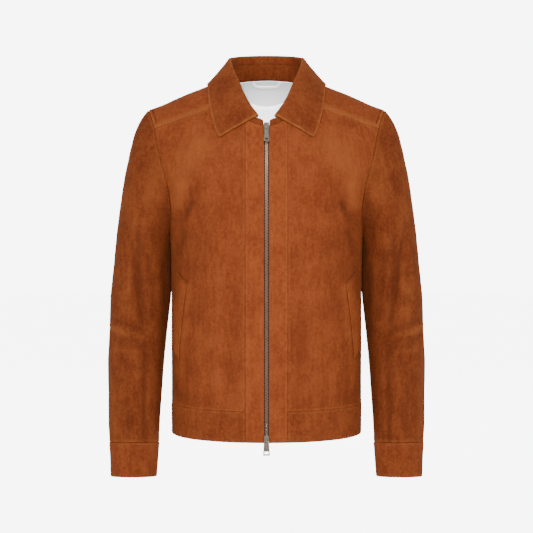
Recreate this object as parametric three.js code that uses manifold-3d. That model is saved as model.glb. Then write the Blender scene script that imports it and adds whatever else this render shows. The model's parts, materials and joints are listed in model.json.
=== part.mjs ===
// A man's suede zip jacket with a pointed collar, filled out as if worn, with nobody in it.
// Millimetres, +Z up, +X to the right as seen from the front, and the front faces -Y.
// The origin is on the mid-line between the two shoulders, level with the base of the neck.
import * as THREE from "three";
import { mergeVertices } from "three/addons/utils/BufferGeometryUtils.js";
import Module from "manifold-3d";

// Driving dimensions.
const HEM_Z = -660; // lower edge of the hem band
const HEM_SEAM_Z = -604; // top of the hem band
const ARMPIT_Z = -298; // bottom of the armhole
const PLACKET_SEAM_X = 37.5; // outer edge of the strip beside the zip
const PLACKET_EDGE_X = 4.5; // edge of that strip at the zip
const NECK_HALF = 72; // half width of the neck hole at the shoulder
const RIDGE_TOP_Z = 11.4; // height that the shoulder line would have on the mid-line
const RIDGE_SLOPE = 0.42; // fall of the shoulder line per millimetre outwards
const RIDGE_ROUND = 40; // how far from the mid-line the shoulder line starts to fall
const RIDGE_Y = 4; // the shoulder line lies this far behind the origin
const FRONT_ROUND = 190; // height over which the front rounds into the shoulder line
const BACK_ROUND = 110; // height over which the back rounds into the shoulder line
const SECTION_POWER = 2.15; // 2 is an ellipse, more is squarer

const SUEDE = 1.6; // wall of a panel
const BAND_IN = -1.8; // inner face of the hem band, from the panels' outer face
const BAND_OUT = 0.6; // how far folded bands stand proud of the panels
const SEAM_PULL = 0.25; // each piece stops this short of its seam line
const LINING_FROM = -4.4; // outer face of the lining, from the back's outer face
const LINING_TO = -5.2; // inner face of the lining

// Sections of the body: half width, and depth in front of and behind the shoulder line.
const BODY = [
  { z: -680, half: 175.6, front: 127, back: 112 },
  { z: -604, half: 176, front: 129, back: 112 },
  { z: -520, half: 176, front: 131, back: 107 },
  { z: -420, half: 176, front: 135, back: 101 },
  { z: -340, half: 176.3, front: 138, back: 104 },
  { z: -298, half: 178, front: 139, back: 108 },
  { z: -260, half: 182.5, front: 139, back: 111 },
  { z: -228, half: 190.5, front: 138, back: 113 },
  { z: -205, half: 199, front: 137, back: 114 },
  { z: -178, half: 208, front: 136, back: 115 },
  { z: -150, half: 216, front: 133, back: 116 },
  { z: -115, half: 221, front: 128, back: 117 },
  { z: -66, half: 229, front: 121, back: 118 },
  { z: 40, half: 240, front: 116, back: 118 },
];

// Armhole seam, from the bottom up: distance from the mid-line on the front and on the back.
const ARMHOLE = [
  { z: -298, front: 178.0, back: 178.0 },
  { z: -292, front: 177.3, back: 177.7 },
  { z: -280, front: 175.6, back: 177.2 },
  { z: -262, front: 173.8, back: 177.2 },
  { z: -240, front: 173.0, back: 179.6 },
  { z: -205, front: 177.6, back: 188.0 },
  { z: -178, front: 185.0, back: 195.5 },
  { z: -150, front: 193.0, back: 201.0 },
  { z: -120, front: 199.6, back: 205.5 },
  { z: -100, front: 204.0, back: 208.8 },
  { z: -84, front: 209.0, back: 212.0 },
  { z: -73, front: 213.6, back: 215.0 },
];
const TIP_X = 217.5; // outer end of the shoulder line

// Neck seam from the front zip round to the middle of the back.
const NECK_FRONT = [
  { x: 4.5, z: -97 },
  { x: 20, z: -94 },
  { x: 37.5, z: -83 },
  { x: 52, z: -66 },
  { x: 64.5, z: -42 },
  { x: 70, z: -22 },
];
const NECK_BACK = [
  { x: 60, z: -7 },
  { x: 40, z: -4 },
  { x: 20, z: -2 },
  { x: 0, z: -1 },
];

// Seam between the front panel and the yoke, from the neck seam to the armhole.
const YOKE_SEAM = [
  { x: 64.5, z: -42 },
  { x: 101, z: -64 },
  { x: 119, z: -72 },
  { x: 150, z: -82 },
  { x: 178, z: -92 },
  { x: 204, z: -100 },
];

// Soft troughs in the fronts and the back: from one point to another, how wide and how deep.
const FRONT_FOLDS = [
  { x: 158, z: -262, toX: 149, toZ: -366, width: 13, depth: 3.2 },
  { x: 128, z: -300, toX: 118, toZ: -560, width: 26, depth: 2.0 },
  { x: 158, z: -520, toX: 152, toZ: -590, width: 13, depth: 2.4 },
  { x: 150, z: -170, toX: 120, toZ: -240, width: 18, depth: 1.8 },
];
const BACK_FOLDS = [
  { x: 150, z: -250, toX: 118, toZ: -420, width: 20, depth: 3.4 },
  { x: 60, z: -470, toX: 48, toZ: -590, width: 24, depth: 2.6 },
  { x: 158, z: -470, toX: 148, toZ: -585, width: 15, depth: 2.6 },
  { x: 60, z: -110, toX: 120, toZ: -150, width: 24, depth: 2.0 },
];

// Sleeve sections from the armhole down: the outer and the inner edge as seen from the front,
// half the depth from front to back, and how far back the outer and the inner edge lie. The inner
// edge lies behind the body's side, which the upper arm hangs against.
const SLEEVE = [
  { outX: 217.5, outZ: -66, inX: 178, inZ: -298, deep: 59, y: -8, inY: 4 },
  { outX: 227.5, outZ: -80, inX: 178.2, inZ: -301, deep: 61.5, y: -8, inY: 5 },
  { outX: 240, outZ: -104, inX: 178, inZ: -305, deep: 64.5, y: -8, inY: 7 },
  { outX: 249.5, outZ: -133, inX: 177.6, inZ: -312, deep: 67, y: -8, inY: 10 },
  { outX: 256.5, outZ: -166, inX: 177.1, inZ: -322, deep: 68.5, y: -7, inY: 13 },
  { outX: 263.5, outZ: -202, inX: 176.7, inZ: -335, deep: 69, y: -6, inY: 15 },
  { outX: 270, outZ: -244, inX: 176.4, inZ: -352, deep: 68.5, y: -5, inY: 16 },
  { outX: 275.5, outZ: -290, inX: 176.4, inZ: -374, deep: 67.5, y: -4, inY: 16 },
  { outX: 281.5, outZ: -340, inX: 177.4, inZ: -402, deep: 66, y: -3, inY: 14 },
  { outX: 286, outZ: -390, inX: 180.6, inZ: -436, deep: 64, y: -3, inY: 10 },
  { outX: 289, outZ: -440, inX: 184.8, inZ: -474, deep: 61, y: -5, inY: 4 },
  { outX: 291, outZ: -490, inX: 188.6, inZ: -514, deep: 57, y: -9, inY: -4 },
  { outX: 292, outZ: -540, inX: 191.4, inZ: -556, deep: 52.5, y: -15, inY: -13 },
  { outX: 291.6, outZ: -588, inX: 194, inZ: -597, deep: 48, y: -22, inY: -22 },
  { outX: 290.4, outZ: -633, inX: 196, inZ: -637, deep: 44, y: -29, inY: -29 },
  { outX: 288.4, outZ: -673, inX: 197.6, inZ: -673, deep: 41, y: -35, inY: -35 },
];
const CUFF_END = { outX: 285, outZ: -735, inX: 201, inZ: -735, deep: 37.5, y: -43, inY: -43 };
const FOREARM_TILT = 0.13; // rise of the cuff's plane towards the front, per millimetre
const SLEEVE_GAP = 0.9; // the sleeve starts this far outside the armhole

// Sleeve folds: degrees round from the outer edge by way of the front, and distance below the origin.
const SLEEVE_FOLDS = [
  { around: 62, z: -300, toAround: 108, toZ: -452, width: 15, depth: 6.0 },
  { around: 84, z: -452, toAround: 128, toZ: -476, width: 8, depth: 3.0 },
  { around: 60, z: -486, toAround: 116, toZ: -500, width: 9, depth: 2.6 },
  { around: 118, z: -214, toAround: 132, toZ: -300, width: 12, depth: 4.0 },
  { around: 262, z: -330, toAround: 222, toZ: -430, width: 15, depth: 4.5 },
  { around: 300, z: -470, toAround: 236, toZ: -500, width: 10, depth: 3.4 },
  { around: 96, z: -600, toAround: 70, toZ: -655, width: 12, depth: 2.2 },
];

// Collar from the middle of the back to the front end. The first columns place the fold,
// edgeX and edgeZ the outer edge of the leaf, which lies on the body.
const COLLAR = [
  { neck: 0, foldX: 0, foldY: 61, foldZ: 41, edgeX: 0, edgeZ: -15, side: 1 },
  { neck: 27, foldX: 28, foldY: 57.5, foldZ: 40.4, edgeX: 36, edgeZ: -16, side: 1 },
  { neck: 47, foldX: 48.5, foldY: 46, foldZ: 38.4, edgeX: 66, edgeZ: -18, side: 1 },
  { neck: 61, foldX: 61.5, foldY: 29, foldZ: 35, edgeX: 90, edgeZ: -19, side: 1 },
  { neck: 72, foldX: 67.5, foldY: 4, foldZ: 29.4, edgeX: 106, edgeZ: -15.2, side: -1 },
  { neck: -70.5, foldX: 61.5, foldY: -24, foldZ: 12, edgeX: 105, edgeZ: -32, side: -1 },
  { neck: -66, foldX: 50, foldY: -52, foldZ: -14, edgeX: 100.5, edgeZ: -64, side: -1 },
  { neck: -52, foldX: 37, foldY: -78, foldZ: -44, edgeX: 94, edgeZ: -90, side: -1 },
  { neck: -35, foldX: 25, foldY: -94, foldZ: -64, edgeX: 88, edgeZ: -109, side: -1 },
  { neck: -18, foldX: 15.5, foldY: -104, foldZ: -77, edgeX: 82, edgeZ: -119, side: -1 },
];
const LEAF_WALL = 2.4;
const STAND_WALL = 2.2;
const STAND_SHARE = 0.62; // the stand's part of the height up to the fold
const FOLD_RADIUS = 2.3; // of the middle of the leaf's wall, where it folds over
const LEAF_LIFT = 4.4; // outer face of the leaf's edge above the panels

// Hand pocket welts, slanting out towards the hem.
const WELT = { topX: 143.5, topZ: -377, bottomX: 159.5, bottomZ: -517, width: 0.24, rise: 11, wall: 1.6 };

// Zip.
const CHAIN_HALF = 2.9;
const CHAIN_WALL = 2.4;
const TAPE_OUTER_X = 15;
const TAPE_OUT = -2.2;
const TAPE_IN = -2.8;
const CHAIN_TOP_Z = -106.5;
const CHAIN_BOTTOM_Z = -646.5;
const TAPE_TOP_Z = -99;
const SLIDER = { wide: 9.6, narrow: 7.6, long: 15.6, corner: 1.6, out: 1.0, wall: 1.7 };
const SLIDER_BACK = { out: -4.2, wall: 1.2 };
const POST = { wide: 4, from: 0.5, to: 6.5 }; // joins the slider's two plates past the end of the chain
const BAIL = { half: 1.1, opening: 1.2, wall: 1.2, pinOut: 1.5 }; // arch that holds the pull tab's pin
const PIN_RADIUS = 0.75;
const TAB_SLOT = { half: 1.5, long: 4.5 }; // opening round the bail
// The zip's two sliders. up is 1 where the wide end is uppermost, pin is the pin's way up from
// the slider's middle, and the last columns are the pull tab's sizes and those of its window.
const SLIDERS = [
  { name: "top", z: -100.2, up: 1, pin: -2.6, long: 27, wide: 6.5, endWide: 9.5, slot: 5.2, slotLong: 3.6 },
  { name: "bottom", z: -653.2, up: -1, pin: -2, long: 26, wide: 9, endWide: 12, slot: 7, slotLong: 4.7 },
];

const COLOURS = {
  suede: 0x9a4b24,
  suedeLight: 0xa5552b,
  lining: 0xe6e6e6,
  facing: 0xc8c9cb,
  metal: 0x8f867d,
  tape: 0x2e1a12,
};

const RADIANS = Math.PI / 180;
const vec = (x, y, z) => new THREE.Vector3(x, y, z);
const mix = (a, b, f) => a + (b - a) * f;

// A smooth curve through one column of a table, read at a value of the key column.
function read(table, key, column, at) {
  const rising = table[0][key] < table[table.length - 1][key] ? table : [...table].reverse();
  const last = rising.length - 1;
  const value = Math.min(Math.max(at, rising[0][key]), rising[last][key]);
  let i = 0;
  while (i < last - 1 && rising[i + 1][key] < value) i++;
  const slope = (j) => {
    const a = rising[Math.max(j - 1, 0)];
    const b = rising[Math.min(j + 1, last)];
    return (b[column] - a[column]) / (b[key] - a[key]);
  };
  const span = rising[i + 1][key] - rising[i][key];
  const f = (value - rising[i][key]) / span;
  const f2 = f * f;
  const f3 = f2 * f;
  return (
    (2 * f3 - 3 * f2 + 1) * rising[i][column] +
    (f3 - 2 * f2 + f) * span * slope(i) +
    (3 * f2 - 2 * f3) * rising[i + 1][column] +
    (f3 - f2) * span * slope(i + 1)
  );
}

const ridgeZ = (x) => RIDGE_TOP_Z - RIDGE_SLOPE * (Math.hypot(x, RIDGE_ROUND) - RIDGE_ROUND);
const roundOf = (side) => (side < 0 ? FRONT_ROUND : BACK_ROUND);

// How deep the soft troughs are at a point.
function troughs(folds, x, z, keys = ["x", "z", "toX", "toZ"]) {
  let sum = 0;
  for (const fold of folds) {
    const [ax, az, bx, bz] = keys.map((k) => fold[k]);
    const along = ((x - ax) * (bx - ax) + (z - az) * (bz - az)) / ((bx - ax) ** 2 + (bz - az) ** 2);
    const f = Math.min(Math.max(along, 0), 1);
    const away = Math.hypot(x - mix(ax, bx, f), z - mix(az, bz, f));
    sum += fold.depth * Math.exp(-((away / fold.width) ** 2));
  }
  return sum;
}

// The body's outer face. side is -1 in front and 1 behind, turn is 0 on the mid-line and a
// quarter turn at the side seam, and down is the way down from the shoulder line.
function bodyAt(side, turn, down) {
  const round = roundOf(side);
  const angle = Math.min(down / round, Math.PI / 2);
  const drop = angle < Math.PI / 2 ? round * (1 - Math.cos(angle)) : down - round * (Math.PI / 2 - 1);
  const power = 2 / SECTION_POWER;
  const across = Math.sin(turn) ** power;
  const inwards = Math.max(Math.cos(turn), 0) ** power;
  let x = read(BODY, "z", "half", -drop) * across;
  let z = 0;
  for (let pass = 0; pass < 6; pass++) {
    z = ridgeZ(x) - drop;
    x = read(BODY, "z", "half", z) * across;
  }
  const depth = read(BODY, "z", side < 0 ? "front" : "back", z);
  const dent = troughs(side < 0 ? FRONT_FOLDS : BACK_FOLDS, x, z) * Math.min(1, 1.6 * Math.cos(turn) + 0.1);
  const point = vec(x, RIDGE_Y + side * depth * inwards * Math.sin(angle), z);
  const outwards = vec(x / 176 ** 2, (side * Math.abs(point.y)) / 130 ** 2, 0).normalize();
  return point.addScaledVector(outwards, -dent);
}

// Turn and down of the body's point that the front or back view shows at x, z.
function placeOf(side, x, z) {
  const half = read(BODY, "z", "half", z);
  const drop = Math.max(ridgeZ(x) - z, 0);
  const round = roundOf(side);
  const down = drop < round ? round * Math.acos(1 - drop / round) : drop + round * (Math.PI / 2 - 1);
  return [Math.asin(Math.min(1, x / half) ** (SECTION_POWER / 2)), down];
}

// The body's point and outward normal at turn and down.
function bodyFrame(side, [turn, down]) {
  const step = 1e-3;
  const turnStep = turn > Math.PI / 4 ? -step : step;
  const here = bodyAt(side, turn, down);
  const along = bodyAt(side, turn + turnStep, down).sub(here).multiplyScalar(Math.sign(turnStep));
  const below = bodyAt(side, turn, down + 0.2).sub(here);
  const normal = new THREE.Vector3().crossVectors(along, below).normalize();
  if (side > 0) normal.negate();
  return { point: here, normal: normal.negate() };
}

const spread = (from, to, count) => Array.from({ length: count + 1 }, (_, i) => mix(from, to, i / count));

// A grid of places inside four edges that meet at the corners.
function fillIn(bottom, top, left, right) {
  return left.map((leftPlace, j) => {
    const v = j / (left.length - 1);
    return bottom.map((bottomPlace, i) => {
      const u = i / (bottom.length - 1);
      return [0, 1].map(
        (k) =>
          mix(bottomPlace[k], top[i][k], v) +
          mix(leftPlace[k], right[j][k], u) -
          mix(mix(bottom[0][k], bottom.at(-1)[k], u), mix(top[0][k], top.at(-1)[k], u), v),
      );
    });
  });
}

const frames = (side, places) => places.map((row) => row.map((place) => bodyFrame(side, place)));

// The mirror image of a frame is made once, so that pieces still share it.
const mirrored = new Map();
function mirrorFrame(frame) {
  if (!mirrored.has(frame)) {
    const onMiddle = Math.abs(frame.point.x) < 1e-6;
    const point = vec(-frame.point.x, frame.point.y, frame.point.z);
    const normal = vec(-frame.normal.x, frame.normal.y, frame.normal.z);
    mirrored.set(frame, onMiddle ? frame : { point, normal });
  }
  return mirrored.get(frame);
}
const mirrorGrid = (grid) => grid.map((row) => row.map(mirrorFrame));
const bothHalves = (grid) => grid.map((row) => [...row.slice(1).reverse().map(mirrorFrame), ...row]);

// Frames on a grid of points. towards is a point inside the piece, for each row.
function framesOf(points, ring, inside) {
  const columns = points[0].length;
  const within = (i, count) => Math.min(Math.max(i, 0), count - 1);
  const columnOf = (i) => (ring ? (i + columns) % columns : within(i, columns));
  const at = (j, i) => points[within(j, points.length)][columnOf(i)];
  return points.map((row, j) =>
    row.map((point, i) => {
      const along = at(j, i + 1).clone().sub(at(j, i - 1));
      const up = at(j + 1, i).clone().sub(at(j - 1, i));
      const normal = along.cross(up).normalize();
      if (inside && normal.dot(point.clone().sub(inside[j])) < 0) normal.negate();
      return { point, normal };
    }),
  );
}

// A geometry from points and triangles, turned so that its faces point outwards.
function closedGeometry(points, faces) {
  let volume = 0;
  for (const [a, b, c] of faces) {
    volume += points[a].dot(new THREE.Vector3().crossVectors(points[b], points[c]));
  }
  const turned = volume < 0 ? faces.map(([a, b, c]) => [a, c, b]) : faces;
  const geometry = new THREE.BufferGeometry();
  const positions = points.flatMap((p) => [p.x, p.y, p.z]);
  geometry.setAttribute("position", new THREE.Float32BufferAttribute(positions, 3));
  geometry.setIndex(turned.flat());
  return geometry;
}

// A closed wall on grids of frames. Grids that hold the same frame are joined there.
// Every free edge is drawn back by pull along the surface, so that seams keep a gap.
function thicken(grids, outBy, inBy, pull = SEAM_PULL) {
  const known = new Map();
  const all = [];
  const indexOf = (frame) => {
    if (!known.has(frame)) {
      known.set(frame, all.length);
      all.push(frame);
    }
    return known.get(frame);
  };
  const quads = [];
  for (const grid of grids) {
    const own = [];
    let agreement = 0;
    for (let j = 0; j + 1 < grid.length; j++) {
      for (let i = 0; i + 1 < grid[j].length; i++) {
        const corners = [grid[j][i], grid[j][i + 1], grid[j + 1][i + 1], grid[j + 1][i]].map(indexOf);
        const quad = corners.filter((corner, k) => corner !== corners[(k + 1) % 4]);
        const [a, b, c] = quad.map((k) => all[k].point);
        agreement += b.clone().sub(a).cross(c.clone().sub(a)).dot(all[quad[0]].normal);
        own.push(quad);
      }
    }
    // A grid may run either way round, so it is turned to agree with its normals.
    if (agreement < 0) own.forEach((quad) => quad.reverse());
    quads.push(...own);
  }
  const edges = new Map();
  for (const quad of quads) {
    quad.forEach((a, k) => {
      const b = quad[(k + 1) % quad.length];
      if (edges.has(`${b} ${a}`)) edges.delete(`${b} ${a}`);
      else edges.set(`${a} ${b}`, [a, b, quad]);
    });
  }
  const inwards = all.map(() => []);
  for (const [a, b, quad] of edges.values()) {
    const middle = vec(0, 0, 0);
    for (const k of quad) middle.addScaledVector(all[k].point, 1 / quad.length);
    const line = all[b].point.clone().sub(all[a].point).normalize();
    const way = middle.sub(all[a].point);
    way.addScaledVector(line, -way.dot(line)).normalize();
    inwards[a].push(way);
    inwards[b].push(way);
  }
  const points = all.map(({ point }, k) => {
    if (inwards[k].length !== 2) return point.clone();
    const [first, second] = inwards[k];
    const share = pull / Math.max(1 + first.dot(second), 0.5);
    return point.clone().addScaledVector(first, share).addScaledVector(second, share);
  });
  const count = all.length;
  const outer = points.map((p, k) => p.clone().addScaledVector(all[k].normal, outBy));
  const inner = points.map((p, k) => p.clone().addScaledVector(all[k].normal, inBy));
  const faces = [];
  for (const quad of quads) {
    for (let k = 1; k + 1 < quad.length; k++) {
      faces.push([quad[0], quad[k], quad[k + 1]]);
      faces.push([quad[0] + count, quad[k + 1] + count, quad[k] + count]);
    }
  }
  for (const [a, b] of edges.values()) {
    faces.push([a, a + count, b + count]);
    faces.push([a, b + count, b]);
  }
  return closedGeometry([...outer, ...inner], faces);
}

const jacket = new THREE.Group();
jacket.name = "suede_jacket";
function add(name, geometry, colour, roughness = 0.95, metalness = 0) {
  const material = new THREE.MeshStandardMaterial({ color: colour, roughness, metalness });
  const mesh = new THREE.Mesh(geometry, material);
  mesh.name = name;
  jacket.add(mesh);
}

// Left and right are the wearer's, so the wearer's left is at +X.
function addPair(name, grids, outBy, inBy, colour) {
  add(`${name}_left`, thicken(grids, outBy, inBy), colour);
  add(`${name}_right`, thicken(grids.map(mirrorGrid), outBy, inBy), colour);
}

// How many rows and columns the pieces have between the places where seams meet.
const SIDE_ROWS = 11;
const FRONT_HOLE_ROWS = 8;
const YOKE_ROWS = 3;
const BACK_HOLE_ROWS = 11;
const NECK_COLUMNS = 2;
const SHOULDER_COLUMNS = 10;
const BACK_NECK_COLUMNS = 5;

const halfTurn = (fractions) => fractions.map((f) => (f * Math.PI) / 2);
const levelPlace = (side, turn, z) =>
  placeOf(side, read(BODY, "z", "half", z) * Math.sin(turn) ** (2 / SECTION_POWER), z);
const yokeEnd = YOKE_SEAM.at(-1);
const sideHeights = spread(HEM_SEAM_Z, ARMPIT_Z, SIDE_ROWS);

// Heights up an armhole, closest together where it turns.
const frontHoleHeights = spread(0, 1, FRONT_HOLE_ROWS)
  .slice(1)
  .map((f) => mix(ARMPIT_Z, yokeEnd.z, f ** 1.45));
const backHoleHeights = spread(0, 1, BACK_HOLE_ROWS)
  .slice(1)
  .map((f) => mix(ARMPIT_Z, ridgeZ(TIP_X), (1 - Math.cos(f * Math.PI)) / 2));

const sideSeam = (side) => sideHeights.map((z) => levelPlace(side, Math.PI / 2, z));
const armholePlace = (side, z) => placeOf(side, read(ARMHOLE, "z", side < 0 ? "front" : "back", z), z);
const tipTurn = placeOf(-1, TIP_X, ridgeZ(TIP_X))[0];
const frontHole = frontHoleHeights.map((z) => armholePlace(-1, z));
const yokeHeight = (f) => mix(yokeEnd.z, -73, Math.min(1, f * 1.25));
const yokeHole = spread(0, 1, YOKE_ROWS).map((f) => armholePlace(-1, yokeHeight(f)));
yokeHole[YOKE_ROWS] = [tipTurn, 0];
const backHole = backHoleHeights.map((z) => armholePlace(1, Math.min(z, -74)));
backHole[BACK_HOLE_ROWS - 1] = [tipTurn, 0];
const frontSide = [...sideSeam(-1), ...frontHole];
// The back has a row more wherever two of the armhole's heights are far apart.
const backSide = sideSeam(1);
backHole.forEach((place, i) => {
  const low = i === 0 ? ARMPIT_Z : backHoleHeights[i - 1];
  if (backHoleHeights[i] - low > 22) backSide.push(armholePlace(1, (backHoleHeights[i] + low) / 2));
  backSide.push(place);
});

const neckFrontPlace = (x) => placeOf(-1, x, read(NECK_FRONT, "x", "z", x));
const NECK_RIM = [{ x: NECK_HALF, z: ridgeZ(NECK_HALF) }, ...NECK_BACK];
const neckBackPlace = (x) => placeOf(1, x, read(NECK_RIM, "x", "z", x));
const ridgePlace = (x) => [placeOf(-1, x, ridgeZ(x))[0], 0];
const shoulderEdge = spread(NECK_HALF, TIP_X, SHOULDER_COLUMNS).map(ridgePlace);
const yokeEdge = spread(YOKE_SEAM[0].x, yokeEnd.x, SHOULDER_COLUMNS).map((x) =>
  placeOf(-1, x, read(YOKE_SEAM, "x", "z", x)),
);
yokeEdge[SHOULDER_COLUMNS] = frontHole.at(-1);

// The front panels, from the seam beside the zip to the side seam and the armhole.
const frontNeckXs = spread(PLACKET_SEAM_X, YOKE_SEAM[0].x, NECK_COLUMNS).slice(0, -1);
const frontTop = [...frontNeckXs.map(neckFrontPlace), ...yokeEdge];
const placketTopZ = read(NECK_FRONT, "x", "z", PLACKET_SEAM_X);
const placketSide = [...sideHeights, ...frontHoleHeights].map((z) =>
  placeOf(-1, PLACKET_SEAM_X, mix(HEM_SEAM_Z, placketTopZ, (z - HEM_SEAM_Z) / (yokeEnd.z - HEM_SEAM_Z))),
);
const seamTurn = placeOf(-1, PLACKET_SEAM_X, HEM_SEAM_Z)[0];
const frontBottomTurns = spread(seamTurn, Math.PI / 2, NECK_COLUMNS + SHOULDER_COLUMNS);
const frontBottom = frontBottomTurns.map((turn) => levelPlace(-1, turn, HEM_SEAM_Z));
const frontGrid = frames(-1, fillIn(frontBottom, frontTop, placketSide, frontSide));
addPair("front", [frontGrid], 0, -SUEDE, COLOURS.suede);

// The back, which runs over the shoulders to a seam on the front.
const backTurns = halfTurn(spread(0, 1, BACK_NECK_COLUMNS + SHOULDER_COLUMNS));
const backBottom = backTurns.map((turn) => levelPlace(1, turn, HEM_SEAM_Z));
const backNeckXs = spread(0, NECK_HALF, BACK_NECK_COLUMNS).slice(0, -1);
const backTop = [...backNeckXs.map(neckBackPlace), ...shoulderEdge];
const backMiddle = spread(0, 1, backSide.length - 1).map((f) => {
  const [low, high] = [backBottom[0], backTop[0]];
  return [0, mix(low[1], high[1], f ** 0.75)];
});
const backGrid = frames(1, fillIn(backBottom, backTop, backMiddle, backSide));
const neckSide = [YOKE_SEAM[0].x, 67.6, 70.2].map(neckFrontPlace);
const yokeGrid = frames(-1, fillIn(yokeEdge, shoulderEdge, [...neckSide, shoulderEdge[0]], yokeHole));
yokeGrid[YOKE_ROWS] = backGrid.at(-1).slice(BACK_NECK_COLUMNS);
add("back", thicken([bothHalves(backGrid), yokeGrid, mirrorGrid(yokeGrid)], 0, -SUEDE), COLOURS.suede);

// The strips beside the zip, from the neck seam to the hem.
const STRIP_ROWS = 19;
const stripXs = spread(PLACKET_EDGE_X, PLACKET_SEAM_X, 3);
const stripGrid = frames(
  -1,
  spread(0, 1, STRIP_ROWS).map((f) =>
    stripXs.map((x) => placeOf(-1, x, mix(HEM_Z, read(NECK_FRONT, "x", "z", x), f))),
  ),
);
addPair("front_strip", [stripGrid], BAND_OUT, -SUEDE, COLOURS.suedeLight);

// The hem band, from one strip round the back to the other.
const bandHeights = spread(HEM_Z, HEM_SEAM_Z, 2);
const bandGrid = bandHeights.map((z) => {
  const back = backTurns.map((turn) => bodyFrame(1, levelPlace(1, turn, z)));
  const beside = frontBottomTurns.slice(1, -1).reverse();
  const front = beside.map((turn) => bodyFrame(-1, levelPlace(-1, turn, z)));
  return [...back, ...front, bodyFrame(-1, placeOf(-1, PLACKET_SEAM_X, z))];
});
add("hem_band", thicken([bothHalves(bandGrid)], BAND_OUT, BAND_IN), COLOURS.suede);

// The sleeves. Each ring starts at the outer edge and goes round by way of the front.
const holeFrames = [
  ...[...yokeHole.slice(1).reverse(), ...frontHole.slice().reverse()].map((place) => bodyFrame(-1, place)),
  bodyFrame(-1, levelPlace(-1, Math.PI / 2, ARMPIT_Z)),
  ...backHole.slice(0, -1).map((place) => bodyFrame(1, place)),
];
const COLUMNS = holeFrames.length;
const BACK_FROM = YOKE_ROWS + FRONT_HOLE_ROWS;
const holeAngles = holeFrames.map(({ point }, i) => {
  const middle = (SLEEVE[0].outZ + SLEEVE[0].inZ) / 2;
  const rise = (point.z - middle) / ((SLEEVE[0].outZ - SLEEVE[0].inZ) / 2);
  const angle = Math.acos(Math.min(Math.max(rise, -1), 1));
  return i <= BACK_FROM ? angle : 2 * Math.PI - angle;
});
const evenAngles = holeAngles.map((angle, i) =>
  i <= BACK_FROM ? (Math.PI * i) / BACK_FROM : Math.PI * (1 + (i - BACK_FROM) / (COLUMNS - BACK_FROM)),
);

const middleOf = (ring) =>
  vec((ring.outX + ring.inX) / 2, (ring.y + ring.inY) / 2, (ring.outZ + ring.inZ) / 2);

function ringPoint(ring, angle, tilt) {
  const out = vec(ring.outX, ring.y, ring.outZ);
  const into = vec(ring.inX, ring.inY, ring.inZ);
  const middle = out.clone().add(into).multiplyScalar(0.5);
  const point = middle.clone().addScaledVector(out.sub(middle), Math.cos(angle));
  const forward = ring.deep * Math.sin(angle);
  point.y -= forward;
  point.z += tilt * forward;
  return point;
}

function sleeveRing(at) {
  const keyed = SLEEVE.map((row, k) => ({ ...row, k }));
  const ring = {};
  for (const column of Object.keys(CUFF_END)) ring[column] = read(keyed, "k", column, at);
  const tilt = FOREARM_TILT * THREE.MathUtils.smoothstep(at, 8, 14);
  const fade = 1 - THREE.MathUtils.smoothstep(at, 0, 5);
  const middle = middleOf(ring);
  const points = holeFrames.map(({ point }, i) => {
    const angle = mix(evenAngles[i], holeAngles[i], fade);
    const shape = ringPoint(ring, angle, tilt);
    const start = ringPoint(SLEEVE[0], holeAngles[i], 0);
    shape.addScaledVector(point.clone().sub(start), fade);
    shape.x += SLEEVE_GAP * fade;
    const dent = troughs(SLEEVE_FOLDS, angle / RADIANS, shape.z, ["around", "z", "toAround", "toZ"]);
    const away = shape.clone().sub(middle).normalize();
    return shape.addScaledVector(away, -dent * (1 - fade));
  });
  return { points, middle };
}

const sleeveStations = [...spread(0, 7, 7), ...spread(7, SLEEVE.length - 1, 16).slice(1)];
const rings = sleeveStations.map(sleeveRing);
const sleeveFrames = framesOf(rings.map((ring) => ring.points), true, rings.map((ring) => ring.middle));
sleeveFrames[0].forEach((frame, i) => {
  frame.normal.addScaledVector(holeFrames[i].normal, Math.max(0, Math.cos(holeAngles[i]))).normalize();
});
const closeRing = (grid) => grid.map((row) => [...row, row[0]]);
addPair("sleeve", [closeRing(sleeveFrames)], 0, -SUEDE, COLOURS.suede);

// The cuffs.
const cuffRings = spread(0, 1, 3).map((f) => {
  const ring = {};
  for (const column of Object.keys(CUFF_END)) ring[column] = mix(SLEEVE.at(-1)[column], CUFF_END[column], f);
  return {
    points: evenAngles.map((angle) => ringPoint(ring, angle, FOREARM_TILT)),
    middle: middleOf(ring),
  };
});
const cuffMiddles = cuffRings.map((ring) => ring.middle);
const cuffFrames = framesOf(cuffRings.map((ring) => ring.points), true, cuffMiddles);
addPair("cuff", [closeRing(cuffFrames)], BAND_OUT, BAND_IN, COLOURS.suede);

// The collar. Places on the body are joined across the shoulder line by a signed way down.
const signedPlace = (side, x, z) => {
  const [turn, down] = placeOf(side, x, z);
  return vec(turn * 100, down * side, 0);
};
const signedFrame = ({ x, y }) => bodyFrame(y < 0 ? -1 : 1, [x / 100, Math.abs(y)]);
const curve = (points) => new THREE.CatmullRomCurve3(points, false, "catmullrom", 0.5);
const neckCurve = curve(
  COLLAR.map(({ neck }) => {
    if (neck === NECK_HALF) return signedPlace(-1, NECK_HALF, ridgeZ(NECK_HALF));
    return neck < 0
      ? signedPlace(-1, -neck, read(NECK_FRONT, "x", "z", -neck))
      : signedPlace(1, neck, read(NECK_RIM, "x", "z", neck));
  }),
);
const foldCurve = curve(COLLAR.map((row) => vec(row.foldX, row.foldY, row.foldZ)));
const edgeCurve = curve(COLLAR.map((row) => signedPlace(row.side, row.edgeX, row.edgeZ)));
const LEAF_MIDDLE = LEAF_LIFT - LEAF_WALL / 2;

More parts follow.
